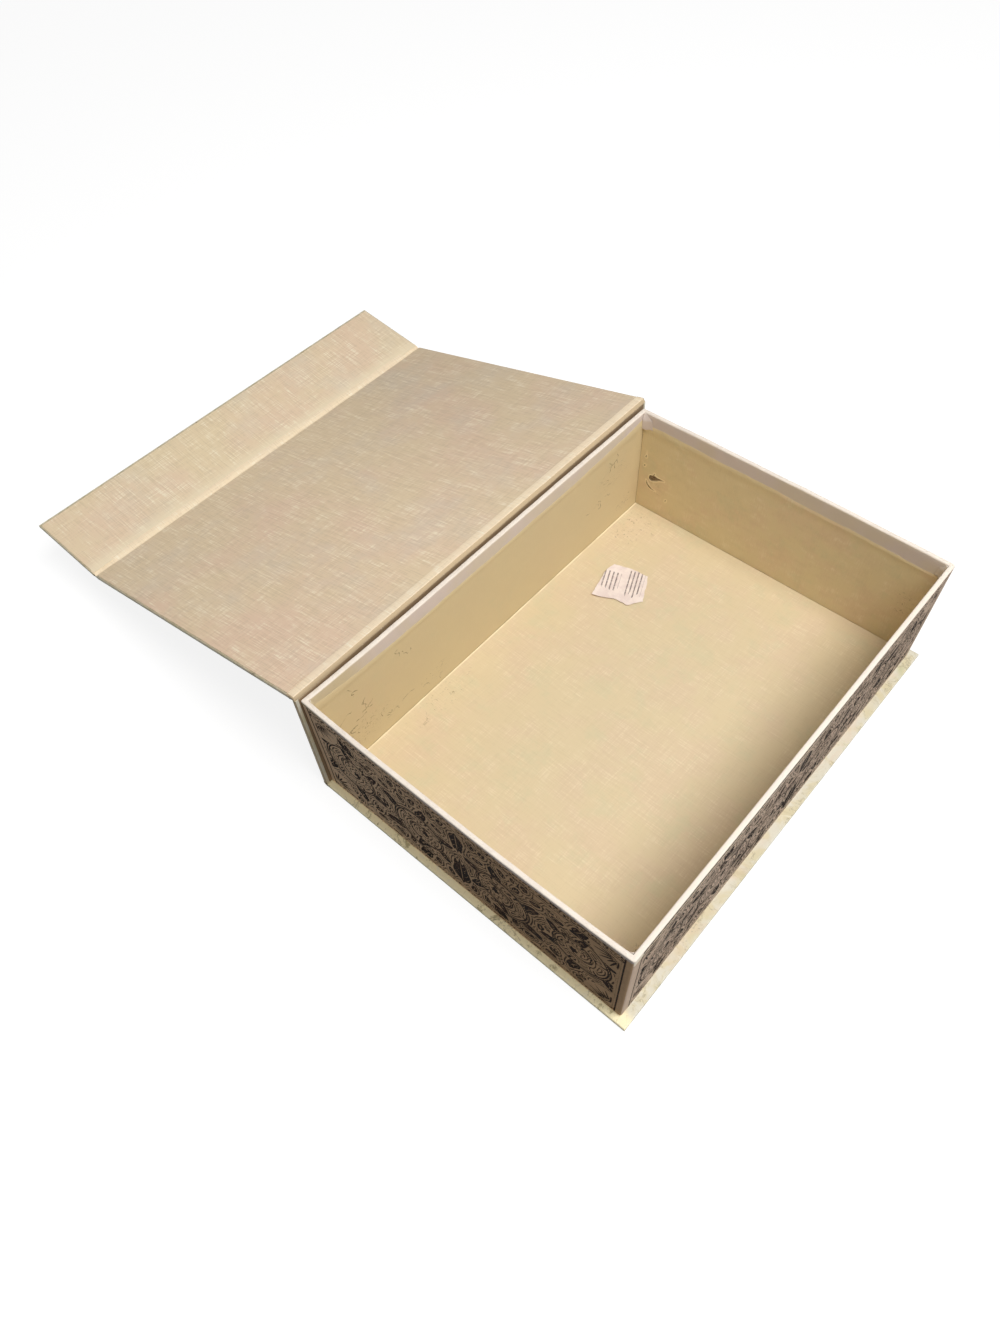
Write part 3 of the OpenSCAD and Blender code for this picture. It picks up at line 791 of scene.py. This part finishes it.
# Ink and marks are held on the points from -MOST, well outside a stroke, to MOST
MOST = 1.5
GRID = 0.75
SEED = {"front": 1, "back": 2, "near": 3, "far": 4}
BARE_DEPTH = {"front": 0.9, "back": 2.0, "near": 3.0, "far": 2.0}


def set_number(piece, name, values):
    """Gives each point of a piece a number that its material reads by name."""
    layer = piece.data.attributes.new(name, "FLOAT", "POINT")
    layer.data.foreach_set("value", np.asarray(values, np.float32).ravel())


def make_side_paper(side):
    """Paper of one wall: under the tray, up the outside, over the rim and down the inside."""
    half = HALF[side]
    count = int(2 * half / GRID) | 1
    share = np.linspace(-1, 1, count)
    heights = np.linspace(TRAY_Z + EDGE_ROUND, RIM_Z - EDGE_ROUND, int(84 / GRID))
    r, low, high = EDGE_ROUND, TRAY_Z + EDGE_ROUND, RIM_Z - EDGE_ROUND
    outer = [(TURN_UNDER, TRAY_Z)] + arc((r, low), r, 270, 180, 4)[:-1]
    first = len(outer)
    outer += [(0.0, z) for z in heights]
    last = len(outer)
    outer += arc((r, high), r, 180, 90, 5)[1:] + arc((WALL_T - r, high), r, 90, 0, 5)
    outer += [(WALL_T, z) for z in (85, 81, 78, TURN_IN_Z)]
    q = r - PAPER
    inner = [(BOARD_FACE, z) for z in (TURN_IN_Z, 78, 81, 85)] + arc((WALL_T - r, high), q, 0, 90, 3)
    inner += arc((r, high), q, 90, 180, 3) + [(PAPER, z) for z in (70, 50, 30, 12)]
    inner += arc((r, low), q, 180, 270, 3) + [(TURN_UNDER, TRAY_Z + PAPER)]
    profile = np.array(outer + inner)
    points = wall_point(side, profile[None, :, 0], share[:, None], profile[None, :, 1])
    along = share * half
    rim = np.clip((profile[:, 1] - 80) / 8.6, 0, 1)[None, :]
    seed = SEED[side]
    ends = (1 - share**6)[:, None]
    points[:, :, 2] += np.maximum(wave(along, seed, 0.28), -0.16)[:, None] * rim * ends
    name = f"print_paper_{side}"
    piece = add_piece(
        name, points.reshape(-1, 3), tube_faces(count, len(profile)),
        front_print_painted_light if side == "front" else side_print, "root",
        [f"side_paper_{side}"], smooth=50,
    )
    ink = np.full((count, len(profile)), -MOST)
    ink[:, first:last] = np.clip(draw_ornament(share * half, heights, half), -MOST, MOST)
    printed = np.zeros((count, len(profile)))
    printed[:, :last] = 1.0
    bare = RIM_Z - BARE_DEPTH[side] + wave(along, seed + 40, 0.4, (60, 19, 7))
    if side == "front":
        bare -= 5.6 * np.clip((7.5 - along - half) / 1.5, 0, 1)
    covered = np.clip((bare[:, None] - heights[None]) / 1.2 + 0.5, 0, 1)
    if side == "front":
        line = RIM_Z - 5.4 + wave(along, 77, 0.25, (60, 19, 7))
        painted_lighting_band = np.clip((90 - along) / 90, 0, 1)[:, None]
        covered -= np.clip(1.3 - np.abs(heights[None] - line[:, None]) / 0.95, 0, 1) * painted_lighting_band
        dots = np.clip(1.3 - np.abs(heights[None] - line[:, None] - 2.4) / 1.3, 0, 1) * painted_lighting_band
        dash = wave(along, 78, 0.9, (5.1, 2.7, 1.9))[:, None]
        dotted = np.where(dots > 0, dots * 1.6 - 0.7 + dash, -MOST)
        ink[:, first:last] = np.maximum(ink[:, first:last], dotted)
    printed[:, first:last] = np.clip(covered, 0, 1)
    set_number(piece, "ink", ink)
    set_number(piece, "printed", printed)
    return piece


def band_depth(side, along):
    """How far the wall lining's upper edge lies below the rim: hand cut, so it wanders."""
    if side == "far":
        base = 10.4 + 1.5 * along / HALF[side]
    elif side == "back":
        share = along / HALF[side]
        base = 10.8 - 0.8 * share - 5.0 * share**4
    else:
        base = 10.6 + 0 * along
    return base + wave(along, SEED[side] + 20, 0.45, (70, 29, 11))


HOLE = (-97.8, 36.5)
SCRATCHES = [
    (-119, 28), (-108, 26), (-130, 64), (122, 70), (100, 41.5), (111.5, 43.5), (-126, 40),
    (-141, 36), (-66, 12), (-133, 30), (-128, 50), (-117, 47), (-100, 19), (-92, 66), (118, 62),
]


def hole_marks(across, up):
    """The torn hole in the far wall's lining: a round hole, a pointed tear, and a crescent below them that
    is a painted shadow of the paper's bulge.
    """
    marks = Ink(across, up, mirror=False)
    x, z = HOLE
    marks.line([(x - 1.7, z + 0.2), (x + 1.5, z + 1.2)], [2.3, 1.9])
    marks.line([(x + 1.5, z + 1.0), (x + 4.6, z + 2.0), (x + 8.8, z + 2.8)], [1.6, 0.8, 0.0])
    marks.line([(x - 0.4, z + 1.8), (x + 0.4, z + 5.4)], [1.0, 0.0])
    # Painted shadow: a dark crescent under the bulge beside the hole.
    crescent, _ = sweep((x - 6.3, z - 3.6), math.radians(-78), 12.0, math.radians(88), 1.0, 8)
    marks.line(crescent, taper(len(crescent), 0.55, -0.1))
    for spot in ((x - 8.5, z + 16.0), (x - 8.9, z + 8.0), (x + 12, z - 14)):
        marks.line([spot, (spot[0] + 0.5, spot[1] + 1.2)], [0.4, 0.15])
    return marks.depth


def scratch_marks(across, up):
    """Old scratches on the back wall's lining: thin hooks and strokes in a few places."""
    marks = Ink(across, up, mirror=False)
    draw = np.random.RandomState(17)
    for y, z in SCRATCHES:
        for _ in range(2):
            at = np.array((y + draw.uniform(-6, 6), z + draw.uniform(-4, 4)))
            heading = draw.uniform(0, 2 * math.pi)
            path = [at]
            for _ in range(draw.randint(4, 9)):
                heading += draw.uniform(-1.5, 1.5)
                step = draw.uniform(0.8, 2.8)
                at = at + (step * math.cos(heading), 0.8 * step * math.sin(heading))
                path.append(at)
            marks.line(path, draw.uniform(0.02, 0.30, len(path)))
    return marks.depth


def make_wall_lining(side):
    """Lining of one wall: on the board, over the turn-in's edge, with a hand-cut upper edge."""
    half = HALF[side]
    count = 161
    along = np.linspace(-half, half, count)
    rows = [70.0, 60.0, 50.0, 40.0, 30.0, 20.0, 12.0]
    if side == "far":
        x, z = HOLE
        along = np.unique(np.concatenate([along, np.arange(x - 10, x + 16, 0.4)]))
        rows = [70.0, 62.0] + list(np.arange(z + 18, z - 16, -0.5)) + [16.0, 11.0]
    if side == "back":
        along = np.unique(np.concatenate([along, np.arange(-150, -56, 0.5), np.arange(92, 130, 0.5)]))
        rows = list(np.arange(72.5, 6.8, -0.5))
    share = along / half
    count = len(share)
    top = RIM_Z - band_depth(side, along)
    back = [(BOARD_FACE, FLOOR_TOP), (BOARD_FACE, 40), (BOARD_FACE, 74.2), (WALL_T, 74.9), (WALL_T, 76.1)]
    front = [(WALL_T, 75.1), (BOARD_FACE, 73.6)]
    front = [(d + PAPER, z) for d, z in front + [(BOARD_FACE, z) for z in rows] + [(BOARD_FACE, FLOOR_TOP)]]
    low = np.broadcast_to(np.array(back)[None], (count, len(back), 2))
    high = np.broadcast_to(np.array(front)[None], (count, len(front), 2))
    edge = np.stack([np.full(count, WALL_T), top], -1)[:, None]
    section = np.concatenate([low, edge, edge + (0.04, -0.02), edge + (PAPER, -1.55), high], 1).copy()
    marks = np.full(section.shape[:2], -MOST)
    if side in ("far", "back"):
        first = section.shape[1] - len(rows) - 1
        draw_marks = hole_marks if side == "far" else scratch_marks
        depth = draw_marks(along, np.array(rows)[::-1])[:, ::-1]
        marks[:, first:-1] = np.clip(depth, -MOST, MOST)
    if side == "far":
        x, z = HOLE
        close = np.hypot(along[:, None] - x, (np.array(rows)[None] - z + 2.0) * 1.1)
        ridge = np.clip(1 - np.abs(depth + 0.6) / 0.6, 0, 1) * np.clip((8.0 - close) / 3.0, 0, 1)
        dip = np.clip(depth / 0.7, 0, 1) * 0.26 - 0.45 * ridge
        section[:, first:-1, 0] -= dip
    points = wall_point(side, section[:, :, 0], share[:, None], section[:, :, 1], shrink=0.15)
    piece = add_piece(
        f"wall_lining_{side}", points.reshape(-1, 3), tube_faces(count, section.shape[1]),
        far_lining if side == "far" else wall_lining, "root",
        [f"wall_liner_{side}"], smooth=25,
    )
    set_number(piece, "marks", marks)
    return piece


for side in HALF:
    make_side_paper(side)
    make_wall_lining(side)
    bowed_copy(f"tray_wall_{side}", side, f"wall_board_{side}", 15, raw_board)
bowed_copy("front_magnets", "front", "closing_magnets_front", 0, plated)


def make_corner_fold(name, x_side, y_side, wide, deep, low, bulge, seed):
    """Where two turned-in side papers meet, one is folded round the inner corner as a small facet."""
    across, down = 9, 12
    cx, cy = x_side * (TRAY_W / 2 - WALL_T - 0.32), y_side * (TRAY_L / 2 - WALL_T - 0.32)
    top = np.zeros((across, down, 3))
    for j in range(down):
        v = j / (down - 1)
        open_up = min(1.0, 0.2 + 2.2 * v)
        a, b = deep * (1 - 0.35 * v) * open_up, wide * (0.75 + 0.25 * v) * open_up
        p, q = np.array([cx, cy - y_side * a]), np.array([cx - x_side * b, cy])
        pull = (p + q) / 2 * bulge + np.array([cx, cy]) * (1 - bulge)
        for i in range(across):
            u = i / (across - 1)
            xy = (1 - u) ** 2 * p + 2 * u * (1 - u) * pull + u * u * q
            z = RIM_Z - 0.7 - (RIM_Z - 0.7 - low) * v + (0.5 * math.sin(u * 9 + seed) + 1.2 * u) * v
            top[i, j] = (*xy, z)
    points = top.reshape(-1, 3)
    toward = np.array([-x_side, -y_side, 0]) * 0.16
    layers = settled(np.vstack([points + toward, points - toward]))
    faces = sheet_faces(across, down)
    piece = add_piece(name, layers, faces, side_print, "root", (), 50)
    set_number(piece, "ink", np.full(len(layers), -MOST))
    set_number(piece, "printed", np.zeros(len(layers)))
    return piece


make_corner_fold("corner_fold_back_far", -1, 1, 7.5, 2.4, 75.8, 0.7, 1)
make_corner_fold("corner_fold_front_near", 1, -1, 5.0, 2.6, 78.5, 0.3, 4)
make_corner_fold("corner_fold_front_far", 1, 1, 4.5, 2.4, 77.0, 0.6, 2)
make_corner_fold("corner_fold_back_near", -1, -1, 4.0, 2.0, 79.0, 0.6, 6)


def make_floor_lining():
    """Floor lining: a sheet with a faint cockle, its edges lifting a little at the walls."""
    nx, ny = 61, 85
    w, d = (TRAY_W - 2 * WALL_T - 0.6) / 2, (TRAY_L - 2 * WALL_T - 0.6) / 2
    x, y = np.meshgrid(np.linspace(-w, w, nx), np.linspace(-d, d, ny), indexing="ij")
    lift = 0.10 + 0.08 * np.sin(x / 31 + 1) * np.cos(y / 43) + 0.05 * np.sin(x / 13 + y / 19)
    rim = np.maximum(np.abs(x) / w, np.abs(y) / d)
    lift = lift + 0.25 * np.clip((rim - 0.965) / 0.035, 0, 1) ** 2
    top = np.stack([x, y, ROOM_Z - 0.12 + lift], -1).reshape(-1, 3)
    low = np.stack([x, y, np.full_like(x, FLOOR_TOP)], -1).reshape(-1, 3)
    piece = add_piece(
        "floor_lining", np.vstack([top, low]), sheet_faces(nx, ny), floor_lining, "root",
        ["floor_liner"], 30,
    )
    set_number(piece, "marks", np.full(2 * nx * ny, -MOST))
    return piece


make_floor_lining()


def make_label():
    """The torn scrap of label: its near and left edges have come loose and curl up."""
    outline = np.array(LABEL_TORN, float)
    edge = []
    for k in range(len(outline)):
        a, b = outline[k], outline[(k + 1) % len(outline)]
        steps = max(2, int(np.hypot(*(b - a)) / 1.6))
        for t in np.arange(steps) / steps:
            edge.append(a + (b - a) * t)
    edge = np.array(edge)
    draw = np.random.RandomState(5)
    edge += draw.uniform(-0.22, 0.22, edge.shape)
    centre = edge.mean(0)
    rings = 9
    flat = [centre[None]] + [centre + (edge - centre) * (k / rings) for k in range(1, rings + 1)]
    flat = np.vstack(flat)
    near = np.clip((-6 - flat[:, 1]) / 13, 0, 1)
    corner = np.clip((-flat[:, 0] - 4 + 0.1 * flat[:, 1]) / 14, 0, 1)
    ripple = np.clip(np.sin(flat[:, 0] / 5.2 + 0.8), 0, 1)
    lift = 0.12 + 2.6 * near**2 * (0.35 + 0.65 * ripple) + 1.3 * corner**2
    lift += 0.5 * np.clip(np.abs(flat[:, 0] - 15) / -6 + 1, 0, 1)
    shrink = flat - (flat - centre) * (0.012 * lift)[:, None]
    top = np.column_stack([shrink[:, 0] + LABEL_X, shrink[:, 1] + LABEL_Y, ROOM_Z + 0.22 + lift])
    low = top - (0, 0, 0.14)
    n, m = len(edge), len(flat)
    faces = [[0, 1 + k, 1 + (k + 1) % n] for k in range(n)]
    for ring in range(rings - 1):
        a, b = 1 + ring * n, 1 + (ring + 1) * n
        faces += [[a + k, b + k, b + (k + 1) % n, a + (k + 1) % n] for k in range(n)]
    faces += [[v + m for v in reversed(f)] for f in faces]
    last = 1 + (rings - 1) * n
    faces += [[last + k, last + (k + 1) % n, last + (k + 1) % n + m, last + k + m] for k in range(n)]
    return add_piece(
        "label_paper_scrap", np.vstack([top, low]), faces, label_paper, "root",
        ["label_scrap"], 60,
    )


make_label()


# Case: spine, hinge roll, crease

LEAN = 3.0
JOINT_END = 7.2


def leaning_copy(node, name, material):
    """A copy of a spine node that leans back a little towards its top, clear of the tray."""
    points, faces = points_and_faces(cad_shape(node))
    points[:, 2] = np.minimum(points[:, 2], HINGE_Z - 0.6)
    rise = np.clip((points[:, 2] - TRAY_Z) / (HINGE_Z - TRAY_Z), 0, 1)
    points[:, 0] -= LEAN * rise
    return add_piece(name, points, faces, material, "root", [node], smooth=30)


leaning_copy("spine_board", "spine_board_leaning", raw_board)
leaning_copy("spine_cover_paper", "spine_cover", spine_cover_look)
leaning_copy("spine_liner", "spine_lining", spine_linen)


def lid_frame(s, t):
    """Model X and Z of a point on the lid, s from the hinge line and t towards the lining."""
    a = math.radians(LID_SLOPE)
    s, t = np.asarray(s, float), np.asarray(t, float)
    return HINGE_X - s * math.cos(a) - t * math.sin(a), HINGE_Z - s * math.sin(a) + t * math.cos(a)


def flap_frame(s, t):
    """Model X and Z of a point on the flap, s from the crease and t as on the lid."""
    f = math.radians(FLAP_FOLD)
    s, t = np.asarray(s, float), np.asarray(t, float) - CREASE_T
    on_lid = CREASE_S + s * math.cos(f) - t * math.sin(f)
    return lid_frame(on_lid, CREASE_T + s * math.sin(f) + t * math.cos(f))


def make_panel_lining(name, place, s0, s1, free, material, body, node):
    """Linen lining of the lid or flap: it rides up softly over the cover's turned-in edges."""
    half = CASE_L / 2 - 1.1
    end = s1 - (LINER_INSET if free else 0)
    ss = np.linspace(s0, end, 60 if free else 110)
    edge, middle = np.linspace(half, half - 26, 27), np.linspace(-half + 30, half - 30, 60)
    ys = np.concatenate([-edge, middle, edge[::-1]])
    s, y = np.meshgrid(ss, ys, indexing="ij")
    inward = CASE_L / 2 - np.abs(y)
    if free:
        inward = np.minimum(inward, s1 - s)
    t = np.clip((inward - CASE_TURN_IN + 1.0) / 7.0, 0, 1)
    raised = 1 - t * t * (3 - 2 * t)
    cockle = 0.06 * np.sin(s / 23 + 0.4) * np.sin(y / 31) + 0.04 * np.sin(s / 11 + y / 17)
    height = LID_FACE + 0.04 + PAPER * raised + cockle * (1 - raised)
    layers = []
    for lower in (0.0, PAPER):
        x, z = place(s, height - lower)
        layers.append(np.stack([x, y, z], -1).reshape(-1, 3))
    faces = sheet_faces(*s.shape)
    return add_piece(name, np.vstack(layers), faces, material, body, [node], 30)


make_panel_lining("lid_lining", lid_frame, JOINT_END, LID_END, False, lid_linen, "lid", "lid_liner")
make_panel_lining("flap_lining", flap_frame, CREASE_HALF, FLAP_L, True, flap_linen, "flap", "flap_liner")


def sweep_section(name, section, stations, material, body, stands_for, smooth=40.0, shape=None):
    """Sweeps a section of X and Z along Y through stations. shape may change it at each station."""
    rows = []
    for y in stations:
        xz = section if shape is None else shape(section, y)
        rows.append(np.column_stack([xz[:, 0], np.full(len(xz), y), xz[:, 1]]))
    faces = tube_faces(len(stations), len(section))
    return add_piece(name, np.vstack(rows), faces, material, body, stands_for, smooth)


def rounded_stations(half, radius, middle):
    """Places along Y, closer together at the two ends, where a piece is rounded off."""
    ends = half - radius * (1 - np.sin(np.linspace(0, math.pi / 2, 6)))
    return np.concatenate([-ends[::-1], np.linspace(-half + radius, half - radius, middle)[1:-1], ends])


def mark_outside(piece, stations, around, corners):
    """Marks the corners of a section that carry the cover's paper and not the lining's."""
    marks = np.zeros(around)
    marks[corners] = 1.0
    set_number(piece, "outside", np.broadcast_to(marks, (stations, around)))


def make_hinge_roll():
    """The paper joint over the spine: it opens with the lid and ends in a crisp fold."""
    lid = ((LID_JOINT, LID_BACK), (LID_JOINT, LID_FACE - 0.3), (JOINT_END, LID_FACE - 0.02))
    band = ((JOINT_END - 0.1, 0.22), (6.2, 0.36), (5.0, 0.40), (3.6, 0.38), (2.4, 0.30), (1.7, 0.24))
    points = [lid_frame(s, t) for s, t in lid] + [lid_frame(s, LID_FACE + t) for s, t in band]
    fold = len(points)
    points += arc((HINGE_X - 1.85, HINGE_Z + 1.22), 0.42, 85, 20, 4)
    face = ((1.15, 0.95), (0.6, 0.25), (0.08, -0.55), (-0.04, -1.1), (1.0, -1.2))
    points += [(HINGE_X - x, HINGE_Z + z) for x, z in face]
    section = np.array([tuple(map(float, p)) for p in points])
    middle = np.array([HINGE_X - 3.0, HINGE_Z + 0.1])
    half, radius = CASE_L / 2, 1.5

    def shape(xz, y):
        gone = max(0.0, abs(y) - (half - radius)) / radius
        k = math.sqrt(max(0.0, 1 - gone**2))
        out = xz.copy()
        out[3:] = middle + (xz[3:] - middle) * (0.55 + 0.45 * k)
        out[:3] = xz[:3] + (middle - xz[:3]) * 0.06 * (1 - k)
        out[fold:-1] += wave(y, 31, 0.08, (60, 23, 9))
        return out

    stations = rounded_stations(half, radius, 90)
    piece = sweep_section(
        "hinge_roll", section, stations, joint_paper, "lid", ["lid_hinge_paper"], 35, shape,
    )
    # Painted shade on the roll's face towards the tray: it grows downwards into the gap above the rim and
    # towards the near end, and covers both end caps.
    shade = np.zeros(len(section))
    face = np.arange(fold + 3, len(section) - 1)
    shade[face] = np.linspace(0.36, 0.60, len(face))
    towards_near = np.clip((-stations - 30) / 110, 0, 1)[:, None]
    grime_and_painted_shade = shade * (1 + 0.3 * towards_near)
    grime_and_painted_shade[np.abs(stations) > half - 0.8] = 0.60
    set_number(piece, "grime_and_painted_shade", grime_and_painted_shade)
    mark_outside(piece, len(stations), len(section), [0, len(section) - 1])
    return piece


make_hinge_roll()


def make_spine_top():
    """Paper cap over the spine board's upper edge, which the joint folds back from."""
    points = ((2.95, -0.6), (2.9, 0.55), (2.4, 0.85), (1.9, 0.80), (0.55, -0.5))
    section = np.array([(HINGE_X - x, HINGE_Z + z) for x, z in points])
    stations = rounded_stations(CASE_L / 2 - 0.4, 1.0, 30)
    return sweep_section("spine_top_paper", section, stations, case_cover, "root", (), 35)


make_spine_top()


def make_crease():
    """The paper joint between lid and flap: a valley between the two panels. It rides on no body."""
    top = [lid_frame(s, t) for s, t in ((224.9, 1.50), (225.3, 1.30), (225.8, 1.05), (226.3, 0.95))]
    top += [lid_frame(CREASE_S - 0.4, 0.95)]
    rising = ((0.3, 1.05), (0.9, 1.30), (1.6, 1.62), (2.3, 1.88), (3.2, 2.02), (4.4, 2.04), (5.4, 1.96))
    top += [flap_frame(s, t) for s, t in rising]
    low = [flap_frame(s, t) for s, t in ((5.4, 1.82), (3.2, 1.7), (2.3, 1.3), (2.25, -1.2), (1.2, -1.2))]
    low += [lid_frame(CREASE_S, -1.25)]
    low += [lid_frame(s, t) for s, t in ((226.2, -1.2), (225.15, -1.2), (225.1, 1.0), (224.9, 1.3))]
    section = np.array([tuple(map(float, p)) for p in top + low])
    stations = rounded_stations(CASE_L / 2 - 0.5, 0.8, 80)
    piece = sweep_section(
        "crease_joint", section, stations, joint_paper, None, ["flap_hinge_paper"], 50,
    )
    set_number(piece, "grime_and_painted_shade", np.zeros(len(piece.data.vertices)))
    mark_outside(piece, len(stations), len(section), np.arange(len(top) + 3, len(top) + 8))
    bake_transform(piece)
    return piece


make_crease()

# Materials of the CAD nodes that stay as they are
KEPT = {
    "base_board": raw_board, "lid_board": raw_board, "flap_board": raw_board, "tray_floor_board": raw_board,
    "base_cover_paper": case_cover, "lid_cover_paper": lid_cover, "flap_cover_paper": flap_cover,
    "flap_magnets": plated,
}
for name, material in KEPT.items():
    mesh = nodes[name].data
    mesh.materials.clear()
    mesh.materials.append(material)

# Floor, light and camera


def make_stage():
    """The floor: white to the camera, and darker to the light that it throws back at the box."""
    size = 3.0
    mesh = bpy.data.meshes.new("floor")
    corners = [(x * size, y * size, -0.0004) for x, y in ((-1, -1), (1, -1), (1, 1), (-1, 1))]
    mesh.from_pydata(corners, [], [(0, 1, 2, 3)])
    g = Graph("floor_white")
    g.feed(g.shader.inputs["Roughness"], 0.9)
    g.feed(g.shader.inputs["Specular IOR Level"], 0.0)
    path = g.add("ShaderNodeLightPath")
    seen = path.outputs["Is Camera Ray"]
    for ray in ("Is Glossy Ray", "Is Transmission Ray"):
        seen = g.math("MAXIMUM", seen, path.outputs[ray])
    g.feed(g.shader.inputs["Base Color"], g.mix(seen, (0.14, 0.14, 0.14), (0.26, 0.26, 0.26)))
    g.feed(g.shader.inputs["Emission Color"], (1.0, 1.0, 1.0))
    g.feed(g.shader.inputs["Emission Strength"], g.times(seen, 0.85))
    mesh.materials.append(g.material)
    floor = bpy.data.objects.new("floor", mesh)
    bpy.context.scene.collection.objects.link(floor)


def make_light(name, place, target, size, power, colour=(1, 1, 1)):
    """A round lamp at a place in metres, turned towards its target."""
    lamp = bpy.data.lights.new(name, "AREA")
    lamp.shape = "DISK"
    lamp.size = size
    lamp.energy = power
    lamp.color = colour
    light = bpy.data.objects.new(name, lamp)
    light.location = place
    light.rotation_mode = "QUATERNION"
    light.rotation_quaternion = (Vector(target) - Vector(place)).to_track_quat("-Z", "Y")
    bpy.context.scene.collection.objects.link(light)


def make_world():
    """Even light from all sides, weaker than the pure white that the camera sees."""
    world = bpy.data.worlds.new("studio")
    bpy.context.scene.world = world
    world.use_nodes = True
    tree = world.node_tree
    back = tree.nodes["Background"]
    path = tree.nodes.new("ShaderNodeLightPath")
    seen = path.outputs["Is Camera Ray"]
    for ray in ("Is Glossy Ray", "Is Transmission Ray"):
        either = tree.nodes.new("ShaderNodeMath")
        either.operation = "MAXIMUM"
        tree.links.new(seen, either.inputs[0])
        tree.links.new(path.outputs[ray], either.inputs[1])
        seen = either.outputs[0]
    strength = tree.nodes.new("ShaderNodeMapRange")
    tree.links.new(seen, strength.inputs[0])
    strength.inputs[3].default_value = 0.26
    strength.inputs[4].default_value = 1.0
    tree.links.new(strength.outputs[0], back.inputs["Strength"])
    back.inputs["Color"].default_value = (1, 1, 1, 1)


CAMERA_AT = (168.2, -299.2, 514.7)
FRAME_HEIGHT = 1333
FOCAL_PIXELS = 954.41
SENSOR = 36.0


def make_camera():
    """The camera of the photograph, found from the box's corners in a 1000 by 1333 frame."""
    data = bpy.data.cameras.new("camera")
    data.sensor_width = SENSOR
    data.lens = FOCAL_PIXELS * SENSOR / FRAME_HEIGHT
    data.shift_x = (500.0 - 482.72) / FRAME_HEIGHT
    data.shift_y = (705.55 - 666.5) / FRAME_HEIGHT
    data.clip_start, data.clip_end = 0.01, 20.0
    camera = bpy.data.objects.new("camera", data)
    right = Vector((0.748117, 0.662337, -0.040377))
    down = Vector((0.532854, -0.635899, -0.558300))
    ahead = Vector((-0.395459, 0.396159, -0.828656))
    turn = Matrix((right, -down, -ahead)).transposed().to_4x4()
    camera.matrix_world = Matrix.Translation(Vector(CAMERA_AT) * MM) @ turn
    bpy.context.scene.collection.objects.link(camera)
    bpy.context.scene.camera = camera


make_stage()
make_world()
make_light("key", (0.50, 0.0, 1.22), (0, 0, 0.03), 0.80, 16.0, (1.0, 0.992, 0.98))
make_light("fill", (1.50, 0.10, 0.12), (0.1, 0, 0.05), 0.20, 1.8)
make_camera()
bpy.context.scene.view_settings.view_transform = "Standard"
